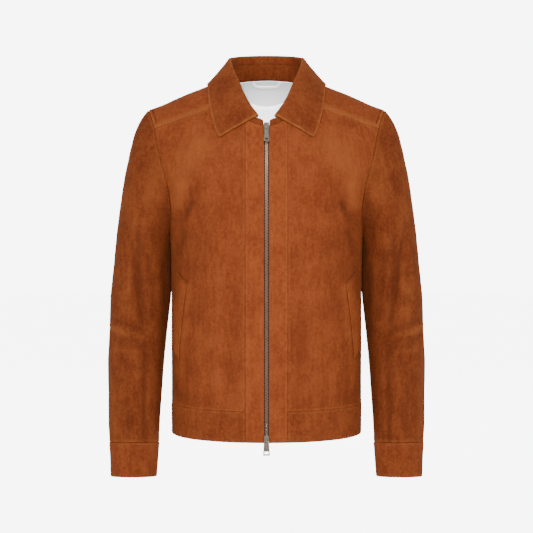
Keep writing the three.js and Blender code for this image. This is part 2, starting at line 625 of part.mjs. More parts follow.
function collarSection(f) {
  const neckPlace = neckCurve.getPoint(f);
  const edgePlace = edgeCurve.getPoint(f);
  const neck = signedFrame(neckPlace).point;
  const fold = foldCurve.getPoint(f);
  const edge = signedFrame(edgePlace);
  const end = edge.point.clone().addScaledVector(edge.normal, LEAF_MIDDLE);
  const up = fold.clone().sub(neck).normalize();
  const out = foldCurve.getTangent(f).cross(up).normalize();
  if (out.dot(edge.normal) < 0) out.negate();
  const centre = fold.clone().addScaledVector(up, -FOLD_RADIUS - LEAF_WALL / 2);
  const seam = neck.clone().lerp(fold, STAND_SHARE).addScaledVector(out, -FOLD_RADIUS * STAND_SHARE);
  const standTop = seam.clone().addScaledVector(up, -0.45);
  const leaf = [seam, seam.clone().lerp(centre.clone().addScaledVector(out, -FOLD_RADIUS), 0.5)];
  for (const degrees of [0, 60, 120, 180]) {
    const angle = degrees * RADIANS;
    leaf.push(
      centre
        .clone()
        .addScaledVector(out, -FOLD_RADIUS * Math.cos(angle))
        .addScaledVector(up, FOLD_RADIUS * Math.sin(angle)),
    );
  }
  const start = leaf.at(-1);
  for (const g of [0.3, 0.65, 1]) {
    const point = start.clone().lerp(end, g);
    const below = signedFrame(neckPlace.clone().lerp(edgePlace, mix(0.12, 1, g)));
    const height = point.clone().sub(below.point).dot(below.normal);
    leaf.push(point.addScaledVector(below.normal, Math.max(0, LEAF_MIDDLE - height)));
  }
  return { neck, up, out, standTop, leaf };
}

const leafStations = spread(0, 1, 2 * COLLAR.length - 2).map(collarSection);
const leafFrames = framesOf(leafStations.map((station) => station.leaf), false, null);
leafFrames[0].forEach((frame) => {
  frame.point.x = 0;
  frame.normal.setX(0).normalize();
});
const turned = (grid) => grid[0].map((_, i) => grid.map((row) => row[i]));
const leafGrid = bothHalves(turned(leafFrames));
add("collar_leaf", thicken([leafGrid], LEAF_WALL / 2, -LEAF_WALL / 2), COLOURS.suede);

// The stand, whose ends run on past the leaf to the zip.
const standRows = leafStations.map(({ neck, standTop, up, out }) => {
  const foot = neck.clone().addScaledVector(up, 1.3).addScaledVector(out, -0.6);
  return spread(0, 1, 2).map((f) => foot.clone().lerp(standTop, f));
});
for (const [x, high] of [[11.5, 11], [5.2, 8.5]]) {
  const neck = bodyFrame(-1, neckFrontPlace(x)).point;
  standRows.push([0.5 / high, 0.5, 1].map((f) => neck.clone().add(vec(0.3, 2, high).multiplyScalar(f))));
}
const standFrames = framesOf(standRows, false, null);
standFrames[0].forEach((frame) => {
  frame.point.x = 0;
  frame.normal.setX(0).normalize();
});
const standGrid = bothHalves(turned(standFrames));
add("collar_stand", thicken([standGrid], STAND_WALL / 2, -STAND_WALL / 2), COLOURS.suede);

// The pocket welts.
const weltRows = spread(0, 1, 6).map((v) =>
  spread(0, 1, 2).map((u) => {
    const [turn, down] = placeOf(-1, mix(WELT.bottomX, WELT.topX, v), mix(WELT.bottomZ, WELT.topZ, v));
    return [turn + WELT.width * u, down - WELT.rise * u - 16 * u];
  }),
);
addPair("pocket_welt", [frames(-1, weltRows)], 1.2 + WELT.wall, 1.2, COLOURS.suedeLight);

// What shows inside the back of the neck: a half-moon facing, the lining below it and a loop.
const FACING_EDGE = [
  { x: 0, z: -49 },
  { x: 20, z: -46.5 },
  { x: 40, z: -38 },
  { x: 52, z: -29 },
  { x: 60, z: -21 },
];
const facingXs = spread(0, 60, 5);
const facingHeight = (x, f) => mix(read(FACING_EDGE, "x", "z", x), read(NECK_RIM, "x", "z", x) - 1.2, f);
const facingPlaces = spread(0, 1, 4).map((f) => facingXs.map((x) => placeOf(1, x, facingHeight(x, f))));
const facingGrid = bothHalves(frames(1, facingPlaces));
add("back_neck_facing", thicken([facingGrid], LINING_FROM, LINING_TO), COLOURS.facing);

const LINING_COLUMNS = [...facingXs, 84, 112, 142, 172, 200];
const LINING_BOTTOM_Z = -596;
const LINING_TURN = 1.38; // how far round to the side the lining reaches
const liningTurns = spread(0, LINING_TURN, LINING_COLUMNS.length - 1);
const liningTop = LINING_COLUMNS.map((x, i) =>
  i < facingXs.length ? placeOf(1, x, read(FACING_EDGE, "x", "z", x) - 0.4) : placeOf(1, x, ridgeZ(x) - 3),
);
const liningRows = 12;
const liningSide = spread(0, 1, liningRows).map((f) => {
  const z = mix(LINING_BOTTOM_Z, ridgeZ(200) - 3, f);
  const edge = z < ARMPIT_Z ? read(BODY, "z", "half", z) : read(ARMHOLE, "z", "back", z);
  return placeOf(1, Math.min(edge - 3, LINING_COLUMNS.at(-1)), z);
});
const liningMiddleZs = spread(LINING_BOTTOM_Z, FACING_EDGE[0].z - 0.4, liningRows);
const liningMiddle = liningMiddleZs.map((z) => placeOf(1, 0, z));
const liningBottom = liningTurns.map((turn) => levelPlace(1, turn, LINING_BOTTOM_Z));
liningSide[0] = liningBottom.at(-1);
const liningGrid = frames(1, fillIn(liningBottom, liningTop, liningMiddle, liningSide));
add("back_lining", thicken([bothHalves(liningGrid)], LINING_FROM, LINING_TO), COLOURS.lining);

const LOOP_PATH = [
  { x: 0, z: -12.6 },
  { x: 12, z: -12.4 },
  { x: 19, z: -11.6 },
  { x: 23, z: -8.6 },
  { x: 26.5, z: -4.4 },
];
const loopGrid = LOOP_PATH.map(({ x, z }, i) => {
  const before = LOOP_PATH[Math.max(i - 1, 0)];
  const after = LOOP_PATH[Math.min(i + 1, LOOP_PATH.length - 1)];
  const way = i === 0 ? vec(1, 0, 0) : vec(after.x - before.x, 0, after.z - before.z).normalize();
  return [-2.2, 2.2].map((side) => bodyFrame(1, placeOf(1, x + way.z * side, z - way.x * side)));
});
const loopColumns = [0, 1].map((k) => loopGrid.map((row) => row[k]));
add("hanger_loop", thicken([bothHalves(loopColumns)], LINING_TO - 1.1, LINING_TO - 1.8), COLOURS.lining);

// The zip's tapes and its chain of teeth.
const stripHeights = spread(HEM_Z, NECK_FRONT[0].z, STRIP_ROWS);
const zipHeights = (low, high) => [low, ...stripHeights.filter((z) => z > low + 4 && z < high - 4), high];
const tapeRows = zipHeights(HEM_Z + 2, TAPE_TOP_Z).map((z) =>
  [CHAIN_HALF + 0.35, TAPE_OUTER_X].map((x) => placeOf(-1, x, z)),
);
addPair("zip_tape", [frames(-1, tapeRows)], TAPE_OUT, TAPE_IN, COLOURS.tape);
const chainRows = zipHeights(CHAIN_BOTTOM_Z, CHAIN_TOP_Z).map((z) =>
  [0, CHAIN_HALF].map((x) => placeOf(-1, x, z)),
);
const chainGrid = bothHalves(frames(-1, chainRows));
const CHAIN_OUT = (TAPE_OUT + TAPE_IN + CHAIN_WALL) / 2;
add("zip_chain", thicken([chainGrid], CHAIN_OUT, CHAIN_OUT - CHAIN_WALL, 0), COLOURS.metal, 0.4, 0.9);

// The zip's sliders and pull tabs, which are drawn flat on the front's mid-line.
const wasm = await Module();
wasm.setup();
function solidOf(geometry) {
  const bare = geometry.clone();
  bare.deleteAttribute("normal");
  bare.deleteAttribute("uv");
  const merged = mergeVertices(bare, 1e-4);
  const vertProperties = new Float32Array(merged.attributes.position.array);
  const triVerts = new Uint32Array(merged.index.array);
  return new wasm.Manifold(new wasm.Mesh({ numProp: 3, vertProperties, triVerts }));
}
function geometryOf(solid) {
  const mesh = solid.getMesh();
  const geometry = new THREE.BufferGeometry();
  geometry.setAttribute("position", new THREE.Float32BufferAttribute(mesh.vertProperties, 3));
  geometry.setIndex([...mesh.triVerts]);
  return geometry;
}
// Across the zip, along it and out from it: a flat outline made into a plate.
function plate(outline, from, thick) {
  const settings = { depth: thick, bevelEnabled: false, curveSegments: 3 };
  const geometry = new THREE.ExtrudeGeometry(outline, settings);
  return solidOf(geometry.translate(0, 0, from));
}
function trapezoid(lowWide, highWide, low, high, corner) {
  const outline = new THREE.Shape();
  const points = [
    [-lowWide / 2, low],
    [lowWide / 2, low],
    [highWide / 2, high],
    [-highWide / 2, high],
  ];
  points.forEach(([x, y], k) => {
    const [px, py] = points[(k + 3) % 4];
    const [nx, ny] = points[(k + 1) % 4];
    const before = corner / Math.hypot(px - x, py - y);
    const after = corner / Math.hypot(nx - x, ny - y);
    const start = [mix(x, px, before), mix(y, py, before)];
    if (k === 0) outline.moveTo(...start);
    else outline.lineTo(...start);
    outline.quadraticCurveTo(x, y, mix(x, nx, after), mix(y, ny, after));
  });
  outline.closePath();
  return outline;
}

for (const slider of SLIDERS) {
  const frame = bodyFrame(-1, placeOf(-1, 0, slider.z));
  const upwards = vec(0, -frame.normal.z, frame.normal.y).multiplyScalar(-1);
  const place = new THREE.Matrix4().makeBasis(vec(1, 0, 0), upwards, frame.normal).setPosition(frame.point);
  const { wide, narrow, long, corner, out, wall: thick } = SLIDER;
  const [low, high] = slider.up > 0 ? [narrow, wide] : [wide, narrow];
  const front = plate(trapezoid(low, high, -long / 2, long / 2, corner), out, thick);
  const behind = plate(
    trapezoid(low, high, -long / 2, long / 2, corner),
    SLIDER_BACK.out - SLIDER_BACK.wall,
    SLIDER_BACK.wall,
  );
  const [postLow, postHigh] = slider.up > 0 ? [POST.from, POST.to] : [-POST.to, -POST.from];
  const postThick = out + 0.2 - SLIDER_BACK.out + 0.2;
  const postOutline = trapezoid(POST.wide, POST.wide, postLow, postHigh, 0.8);
  const post = plate(postOutline, SLIDER_BACK.out - 0.2, postThick);
  const top = out + thick;
  const pinOut = top + BAIL.pinOut;
  const arch = new THREE.Shape();
  const radius = BAIL.opening + BAIL.wall;
  arch.moveTo(slider.pin + radius, top - 0.3);
  arch.lineTo(slider.pin + radius, pinOut);
  arch.absarc(slider.pin, pinOut, radius, 0, Math.PI, false);
  arch.lineTo(slider.pin - radius, top - 0.3);
  arch.lineTo(slider.pin - BAIL.opening, top - 0.3);
  arch.lineTo(slider.pin - BAIL.opening, pinOut);
  arch.absarc(slider.pin, pinOut, BAIL.opening, Math.PI, 0, true);
  arch.lineTo(slider.pin + BAIL.opening, top - 0.3);
  const settings = { depth: 2 * BAIL.half, bevelEnabled: false, curveSegments: 8 };
  const bail = new THREE.ExtrudeGeometry(arch, settings);
  // The arch is drawn in the plane along and out from the zip, so it is stood on its edge.
  bail.applyMatrix4(new THREE.Matrix4().makeBasis(vec(0, 1, 0), vec(0, 0, 1), vec(1, 0, 0)));
  const body = wasm.Manifold.union([front, behind, post, solidOf(bail.translate(-BAIL.half, 0, 0))]);
  add(`zip_slider_${slider.name}`, geometryOf(body).applyMatrix4(place), COLOURS.metal, 0.4, 0.9);

  const tab = trapezoid(slider.endWide, slider.wide, -slider.long, 0, 0.9);
  const slotLow = -slider.long + 2.4;
  const slit = trapezoid(2 * TAB_SLOT.half, 2 * TAB_SLOT.half, -TAB_SLOT.long, 3, 0.4);
  const slot = trapezoid(slider.slot, slider.slot, slotLow, slotLow + slider.slotLong, 0.5);
  const blade = plate(tab, -PIN_RADIUS, 2 * PIN_RADIUS)
    .subtract(plate(slit, -2, 4))
    .subtract(plate(slot, -2, 4));
  const pin = new THREE.CylinderGeometry(PIN_RADIUS, PIN_RADIUS, slider.wide - 1, 12).rotateZ(Math.PI / 2);
  const pull = geometryOf(blade.add(solidOf(pin))).translate(0, slider.pin, pinOut);
  add(`zip_pull_${slider.name}`, pull.applyMatrix4(place), COLOURS.metal, 0.4, 0.9);
}

export default jacket;
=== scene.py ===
"""A man's suede zip jacket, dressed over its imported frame: napped suede panels, sewing, lining and zip."""
import json
import math

import bmesh
import bpy
import numpy as np
from mathutils import Matrix, Vector

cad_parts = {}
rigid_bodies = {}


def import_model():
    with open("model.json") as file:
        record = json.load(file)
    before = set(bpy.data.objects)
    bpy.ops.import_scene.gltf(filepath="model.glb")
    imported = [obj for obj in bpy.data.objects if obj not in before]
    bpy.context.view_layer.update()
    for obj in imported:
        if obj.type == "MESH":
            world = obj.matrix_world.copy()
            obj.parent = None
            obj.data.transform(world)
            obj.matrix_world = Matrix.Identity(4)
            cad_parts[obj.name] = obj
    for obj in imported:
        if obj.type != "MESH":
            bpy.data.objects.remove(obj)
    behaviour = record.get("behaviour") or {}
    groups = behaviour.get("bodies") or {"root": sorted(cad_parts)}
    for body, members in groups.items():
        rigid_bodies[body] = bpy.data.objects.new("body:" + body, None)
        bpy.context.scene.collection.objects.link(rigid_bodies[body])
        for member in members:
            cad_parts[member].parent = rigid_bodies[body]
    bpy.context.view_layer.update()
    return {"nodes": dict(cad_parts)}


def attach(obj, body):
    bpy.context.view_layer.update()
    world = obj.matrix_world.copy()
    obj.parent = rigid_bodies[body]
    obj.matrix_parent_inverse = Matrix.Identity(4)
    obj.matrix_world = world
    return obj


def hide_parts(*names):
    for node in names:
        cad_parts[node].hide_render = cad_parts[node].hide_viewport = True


bl_info = {
    "name": "Suede jacket",
    "version": (1, 0, 0),
    "blender": (4, 5, 0),
    "location": "3D View > Sidebar > Jacket",
    "description": "Dresses the packed jacket frame in suede, lining, thread and metal",
    "category": "Object",
}

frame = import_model()
MM = 0.001
BODY_NAME = "jacket"

# Sizes of the cut in millimetres, the same as the solids'.
HEM_Z = -660
HEM_SEAM_Z = -604
ARMPIT_Z = -298
STRIP_SEAM_X = 37.5
STRIP_EDGE_X = 4.5
NECK_HALF = 72
RIDGE_TOP_Z = 11.4
RIDGE_SLOPE = 0.42
RIDGE_ROUND = 40
RIDGE_Y = 4
FRONT_ROUND = 190
BACK_ROUND = 110
SECTION_POWER = 2.15
BODY_HALF = 176
BODY_DEEP = 130
TIP_X = 217.5
YOKE_START_X = 64.5
YOKE_END_X = 204
YOKE_END_Z = -100
SHOULDER_FRONT_Z = -73
SHOULDER_BACK_Z = -74
HOLE_EASE = 1.45
FOREARM_TILT = 0.13
SLEEVE_GAP = 0.9
LEAF_WALL = 2.4
STAND_SHARE = 0.62
FOLD_RADIUS = 2.3
LEAF_LIFT = 4.4
ROOT_COLUMNS = 22


def table(columns, *rows):
    """Rows of sizes as a dictionary of columns."""
    return {name: np.array([row[k] for row in rows], float) for k, name in enumerate(columns.split())}


BODY = table(
    "z half front back",
    (-680, 175.6, 127, 112),
    (-604, 176, 129, 112),
    (-520, 176, 131, 107),
    (-420, 176, 135, 101),
    (-340, 176.3, 138, 104),
    (-298, 178, 139, 108),
    (-260, 182.5, 139, 111),
    (-228, 190.5, 138, 113),
    (-205, 199, 137, 114),
    (-178, 208, 136, 115),
    (-150, 216, 133, 116),
    (-115, 221, 128, 117),
    (-66, 229, 121, 118),
    (40, 240, 116, 118),
)
ARMHOLE = table(
    "z front back",
    (-298, 178.0, 178.0),
    (-292, 177.3, 177.7),
    (-280, 175.6, 177.2),
    (-262, 173.8, 177.2),
    (-240, 173.0, 179.6),
    (-205, 177.6, 188.0),
    (-178, 185.0, 195.5),
    (-150, 193.0, 201.0),
    (-120, 199.6, 205.5),
    (-100, 204.0, 208.8),
    (-84, 209.0, 212.0),
    (-73, 213.6, 215.0),
)
NECK_FRONT = table("x z", (4.5, -97), (20, -94), (37.5, -83), (52, -66), (YOKE_START_X, -42), (70, -22))
YOKE_SEAM = table(
    "x z", (YOKE_START_X, -42), (101, -64), (119, -72), (150, -82), (178, -92), (YOKE_END_X, YOKE_END_Z)
)
SLEEVE = table(
    "k outX outZ inX inZ deep y inY",
    (0, 217.5, -66, 178, -298, 59, -8, 4),
    (1, 227.5, -80, 178.2, -301, 61.5, -8, 5),
    (2, 240, -104, 178, -305, 64.5, -8, 7),
    (3, 249.5, -133, 177.6, -312, 67, -8, 10),
    (4, 256.5, -166, 177.1, -322, 68.5, -7, 13),
    (5, 263.5, -202, 176.7, -335, 69, -6, 15),
    (6, 270, -244, 176.4, -352, 68.5, -5, 16),
    (7, 275.5, -290, 176.4, -374, 67.5, -4, 16),
    (8, 281.5, -340, 177.4, -402, 66, -3, 14),
    (9, 286, -390, 180.6, -436, 64, -3, 10),
    (10, 289, -440, 184.8, -474, 61, -5, 4),
    (11, 291, -490, 188.6, -514, 57, -9, -4),
    (12, 292, -540, 191.4, -556, 52.5, -15, -13),
    (13, 291.6, -588, 194, -597, 48, -22, -22),
    (14, 290.4, -633, 196, -637, 44, -29, -29),
    (15, 288.4, -673, 197.6, -673, 41, -35, -35),
)
CUFF = table(
    "k outX outZ inX inZ deep y inY",
    (0, 288.4, -673, 197.6, -673, 41, -35, -35),
    (1, 285, -735, 201, -735, 37.5, -43, -43),
)
COLLAR = table(
    "k neck foldX foldY foldZ edgeX edgeZ side",
    (0, 0, 0, 61, 41, 0, -15, 1),
    (1, 27, 28, 57.5, 40.4, 36, -16, 1),
    (2, 47, 48.5, 46, 38.4, 66, -18, 1),
    (3, 61, 61.5, 29, 35, 90, -19, 1),
    (4, 72, 67.5, 4, 29.4, 106, -15.2, -1),
    (5, -70.5, 61.5, -24, 12, 105, -32, -1),
    (6, -66, 50, -52, -14, 100.5, -64, -1),
    (7, -52, 37, -78, -44, 94, -90, -1),
    (8, -35, 25, -94, -64, 88, -109, -1),
    (9, -18, 15.5, -104, -77, 82, -119, -1),
)
# Soft troughs of the solids: from one point to another, how wide and how deep.
FRONT_FOLDS = (
    (158, -262, 149, -366, 13, 3.2),
    (128, -300, 118, -560, 26, 2.0),
    (158, -520, 152, -590, 13, 2.4),
    (150, -170, 120, -240, 18, 1.8),
)
BACK_FOLDS = (
    (150, -250, 118, -420, 20, 3.4),
    (60, -470, 48, -590, 24, 2.6),
    (158, -470, 148, -585, 15, 2.6),
    (60, -110, 120, -150, 24, 2.0),
)
# The sleeve's are in degrees round from the outer edge by way of the front, and in height.
SLEEVE_FOLDS = (
    (62, -300, 108, -452, 15, 6.0),
    (84, -452, 128, -476, 8, 3.0),
    (60, -486, 116, -500, 9, 2.6),
    (118, -214, 132, -300, 12, 4.0),
    (262, -330, 222, -430, 15, 4.5),
    (300, -470, 236, -500, 10, 3.4),
    (96, -600, 70, -655, 12, 2.2),
)
# Its finer creases, in the same measures. A negative depth is a ridge.
SLEEVE_CREASES = (
    (66, -268, 72, -392, 7, -1.6),
    (80, -290, 90, -404, 6, 2.2),
    (104, -330, 126, -440, 7, 1.6),
    (12, -444, 52, -450, 4, 1.8),
    (46, -448, 96, -462, 4, 2.4),
    (18, -458, 84, -470, 4, -1.7),
    (30, -474, 58, -486, 4, 1.8),
    (62, -480, 112, -490, 4, 1.5),
    (44, -498, 96, -504, 5, -1.1),
    (58, -516, 100, -534, 6, 1.4),
    (70, -545, 82, -640, 8, 1.2),
    (112, -500, 118, -664, 6, 1.9),
    (126, -520, 128, -640, 6, -0.9),
    (40, -560, 44, -660, 10, -0.8),
    (140, -350, 148, -420, 7, 2.0),
    (20, -250, 26, -390, 9, 0.9),
    (50, -110, 62, -220, 10, 0.9),
    (100, -140, 118, -250, 9, 1.3),
    (210, -300, 236, -400, 9, 1.6),
    (286, -200, 300, -330, 11, 1.2),
    (250, -500, 286, -540, 7, 1.7),
    (230, -440, 262, -462, 5, 1.9),
    (226, -452, 258, -476, 5, -1.2),
    (280, -446, 330, -458, 5, 1.4),
    (300, -560, 282, -650, 8, 1.2),
    (330, -430, 316, -520, 8, 0.9),
    (66, -306, 103, -446, 4.0, 1.7),
    (65, -464, 99, -486, 3.4, 1.3),
    (74, -465, 108, -467, 3.2, 1.0),
    (50, -492, 118, -495, 3.4, 1.2),
    (52, -413, 98, -417, 3.4, 0.8),
    (244, -478, 272, -488, 3.6, 1.1),
    (228, -412, 262, -420, 3.6, 0.9),
)


def hermite(f, a, b, start, end):
    """A smooth curve from a to b, with its slopes at both ends."""
    f2, f3 = f * f, f * f * f
    return (2 * f3 - 3 * f2 + 1) * a + (f3 - 2 * f2 + f) * start + (3 * f2 - 2 * f3) * b + (f3 - f2) * end


def read(rows, key, column, at):
    """A smooth curve through one column of a table, read at values of the key column."""
    x, y = rows[key], rows[column]
    if x[0] > x[-1]:
        x, y = x[::-1], y[::-1]
    at = np.clip(np.asarray(at, float), x[0], x[-1])
    i = np.clip(np.searchsorted(x, at) - 1, 0, len(x) - 2)
    steep = np.diff(y) / np.diff(x)
    slope = np.concatenate([steep[:1], (y[2:] - y[:-2]) / (x[2:] - x[:-2]), steep[-1:]])
    span = x[i + 1] - x[i]
    return hermite((at - x[i]) / span, y[i], y[i + 1], span * slope[i], span * slope[i + 1])


def mix(a, b, f):
    return a + (b - a) * f


def smooth(at, low, high):
    f = np.clip((at - low) / (high - low), 0, 1)
    return f * f * (3 - 2 * f)


def unit(vectors):
    return vectors / np.maximum(np.linalg.norm(vectors, axis=-1, keepdims=True), 1e-12)


def ridge_z(x):
    return RIDGE_TOP_Z - RIDGE_SLOPE * (np.hypot(x, RIDGE_ROUND) - RIDGE_ROUND)


def troughs(folds, x, z):
    """How deep soft troughs are at a point."""
    total = np.zeros(np.broadcast(x, z).shape)
    for ax, az, bx, bz, width, depth in folds:
        along = ((x - ax) * (bx - ax) + (z - az) * (bz - az)) / ((bx - ax) ** 2 + (bz - az) ** 2)
        f = np.clip(along, 0, 1)
        away = np.hypot(x - mix(ax, bx, f), z - mix(az, bz, f))
        total = total + depth * np.exp(-((away / width) ** 2))
    return total


def body_at(side, turn, down):
    """The body's outer face, from the way round to the side and the way down from the shoulder."""
    rounding = FRONT_ROUND if side < 0 else BACK_ROUND
    angle = np.minimum(down / rounding, math.pi / 2)
    drop = np.where(angle < math.pi / 2, rounding * (1 - np.cos(angle)), down - rounding * (math.pi / 2 - 1))
    power = 2 / SECTION_POWER
    across = np.maximum(np.sin(turn), 0) ** power
    inwards = np.maximum(np.cos(turn), 0) ** power
    x = read(BODY, "z", "half", -drop) * across
    z = -drop
    for _ in range(6):
        z = ridge_z(x) - drop
        x = read(BODY, "z", "half", z) * across
    depth = read(BODY, "z", "front" if side < 0 else "back", z)
    dent = troughs(FRONT_FOLDS if side < 0 else BACK_FOLDS, x, z) * np.minimum(1, 1.6 * np.cos(turn) + 0.1)
    y = RIDGE_Y + side * depth * inwards * np.sin(angle)
    point = np.stack([x, y, z], -1)
    outwards = unit(np.stack([x / BODY_HALF**2, side * np.abs(y) / BODY_DEEP**2, np.zeros_like(x)], -1))
    return point - outwards * dent[..., None]


def place_of(side, x, z):
    """The way round and down of the point that the front or back view shows at x, z."""
    x, z = np.broadcast_arrays(np.asarray(x, float), np.asarray(z, float))
    drop = np.maximum(ridge_z(x) - z, 0)
    rounding = FRONT_ROUND if side < 0 else BACK_ROUND
    near = rounding * np.arccos(np.clip(1 - drop / rounding, -1, 1))
    down = np.where(drop < rounding, near, drop + rounding * (math.pi / 2 - 1))
    turn = np.arcsin(np.minimum(1, x / read(BODY, "z", "half", z)) ** (SECTION_POWER / 2))
    return turn, down


def body_frame(side, turn, down):
    """Points of the body and the way that the cloth faces there."""
    turn, down = np.broadcast_arrays(np.asarray(turn, float), np.asarray(down, float))
    step = np.where(turn > math.pi / 4, -1e-3, 1e-3)
    here = body_at(side, turn, down)
    along = (body_at(side, turn + step, down) - here) * np.sign(step)[..., None]
    below = body_at(side, turn, down + 0.2) - here
    return here, unit(np.cross(along, below)) * (1 if side > 0 else -1)


def level_place(side, turn, z):
    return place_of(side, read(BODY, "z", "half", z) * np.sin(turn) ** (2 / SECTION_POWER), z)


def fill_in(u, v, bottom, top, left, right):
    """Places inside four edges that meet at the corners. Each edge is a function of its own way."""
    one = np.ones(1)
    b0, b1, t0, t1 = bottom(0 * one), bottom(one), top(0 * one), top(one)
    b, t, l, r = bottom(u), top(u), left(v), right(v)
    return tuple(
        mix(b[k], t[k], v) + mix(l[k], r[k], u) - mix(mix(b0[k], b1[k], u), mix(t0[k], t1[k], u), v)
        for k in (0, 1)
    )


# The share of a side's rows that lie along the side seam. The rest follow the armhole.
SIDE_SHARE = 11 / 19
BACK_SIDE_SHARE = 11 / 27
BACK_NECK_SHARE = 1 / 3
SEAM_TURN = float(place_of(-1, STRIP_SEAM_X, HEM_SEAM_Z)[0])
TIP_Z = float(ridge_z(TIP_X))


def armhole_place(side, z):
    return place_of(side, read(ARMHOLE, "z", "front" if side < 0 else "back", z), z)


def side_edge(side, v, share, hole_height):
    """Up the side seam to the armpit, and on up the armhole."""
    seam_z = mix(HEM_SEAM_Z, ARMPIT_Z, np.minimum(v / share, 1))
    hole_z = hole_height(np.clip((v - share) / (1 - share), 0, 1))
    low, high = level_place(side, np.full_like(v, math.pi / 2), seam_z), armhole_place(side, hole_z)
    return tuple(np.where(v <= share, a, b) for a, b in zip(low, high))


def neck_front_place(x):
    return place_of(-1, x, read(NECK_FRONT, "x", "z", x))


def neck_rim_z(x):
    rim = table("x z", (NECK_HALF, float(ridge_z(NECK_HALF))), (60, -7), (40, -4), (20, -2), (0, -1))
    return read(rim, "x", "z", x)


def front_surface(u, v):
    """A front panel, u from the strip beside the zip to the side, v from the hem seam up."""
    top_z = float(read(NECK_FRONT, "x", "z", STRIP_SEAM_X))
    # The neck's share of the top edge.
    share = 1 / 6

    def top(at):
        neck_x = mix(STRIP_SEAM_X, YOKE_START_X, np.minimum(at / share, 1))
        seam_x = mix(YOKE_START_X, YOKE_END_X, np.clip((at - share) / (1 - share), 0, 1))
        low, high = neck_front_place(neck_x), place_of(-1, seam_x, read(YOKE_SEAM, "x", "z", seam_x))
        return tuple(np.where(at <= share, a, b) for a, b in zip(low, high))

    def right(at):
        return side_edge(-1, at, SIDE_SHARE, lambda f: mix(ARMPIT_Z, YOKE_END_Z, f**HOLE_EASE))

    def left(at):
        hole = mix(ARMPIT_Z, YOKE_END_Z, np.clip((at - SIDE_SHARE) / (1 - SIDE_SHARE), 0, 1) ** HOLE_EASE)
        z = np.where(at <= SIDE_SHARE, mix(HEM_SEAM_Z, ARMPIT_Z, np.minimum(at / SIDE_SHARE, 1)), hole)
        up = (z - HEM_SEAM_Z) / (YOKE_END_Z - HEM_SEAM_Z)
        return place_of(-1, STRIP_SEAM_X, mix(HEM_SEAM_Z, top_z, up))

    bottom = lambda at: level_place(-1, mix(SEAM_TURN, math.pi / 2, at), HEM_SEAM_Z)
    return body_frame(-1, *fill_in(u, v, bottom, top, left, right))


def back_surface(u, v):
    """The back up to the shoulder line, u from one side to the other."""
    side = np.abs(2 * u - 1)
    low_place = level_place(1, np.zeros(1), HEM_SEAM_Z)[1]
    # The neck's share of the top edge.
    share = BACK_NECK_SHARE

    def top(at):
        neck_x = mix(0, NECK_HALF, np.minimum(at / share, 1))
        ridge_x = mix(NECK_HALF, TIP_X, np.clip((at - share) / (1 - share), 0, 1))
        low, high = place_of(1, neck_x, neck_rim_z(neck_x)), place_of(1, ridge_x, ridge_z(ridge_x))
        return low[0] * (at <= share) + high[0] * (at > share), low[1] * (at < share)

    def right(at):
        hole = lambda f: mix(ARMPIT_Z, TIP_Z, (1 - np.cos(f * math.pi)) / 2)
        turn, down = side_edge(1, at, BACK_SIDE_SHARE, lambda f: np.minimum(hole(f), SHOULDER_BACK_Z))
        f = np.clip((at - BACK_SIDE_SHARE) / (1 - BACK_SIDE_SHARE), 0, 1)
        near = smooth(hole(f), SHOULDER_BACK_Z, TIP_Z)
        tip = float(place_of(-1, TIP_X, TIP_Z)[0])
        return mix(turn, tip, near), mix(down, 0, near)

    top_down = float(top(np.zeros(1))[1][0])
    left = lambda at: (np.zeros_like(at), mix(float(low_place[0]), top_down, at**0.75))
    bottom = lambda at: level_place(1, at * math.pi / 2, HEM_SEAM_Z)
    points, normals = body_frame(1, *fill_in(side, v, bottom, top, left, right))
    flip = np.where(u < 0.5, -1.0, 1.0)
    points[..., 0] *= flip
    normals[..., 0] *= flip
    return points, normals


def yoke_surface(u, v):
    """The shoulder piece in front of the shoulder line, v from its seam up."""
    yoke_x = lambda at: mix(YOKE_START_X, YOKE_END_X, at)
    bottom = lambda at: place_of(-1, yoke_x(at), read(YOKE_SEAM, "x", "z", yoke_x(at)))
    top = lambda at: (place_of(-1, mix(NECK_HALF, TIP_X, at), ridge_z(mix(NECK_HALF, TIP_X, at)))[0], 0 * at)

    def left(at):
        x = mix(YOKE_START_X, NECK_HALF, at)
        turn, down = neck_front_place(np.minimum(x, 70.2))
        near = smooth(x, 69, NECK_HALF)
        return mix(turn, top(np.zeros(1))[0], near), mix(down, 0, near)

    def right(at):
        z = mix(YOKE_END_Z, SHOULDER_FRONT_Z, np.minimum(1, at * 1.25))
        turn, down = armhole_place(-1, z)
        near = smooth(at, 0.8, 1)
        return mix(turn, top(np.ones(1))[0], near), mix(down, 0, near)

    return body_frame(-1, *fill_in(u, v, bottom, top, left, right))


# The armhole's points run from the tip of the shoulder round by way of the front. The first two after the tip
# lie on the shoulder piece, at these heights.
ARMPIT_COLUMN = ROOT_COLUMNS // 2
YOKE_HOLE_Z = (-77.5, -88.75)
# The sleeve's seam allowance under the body's cloth: how far in from the armhole as an angle, and how deep.
SLEEVE_TUCKED = (0.004, 0.028)
SLEEVE_TUCKED_DEEP = 2.5


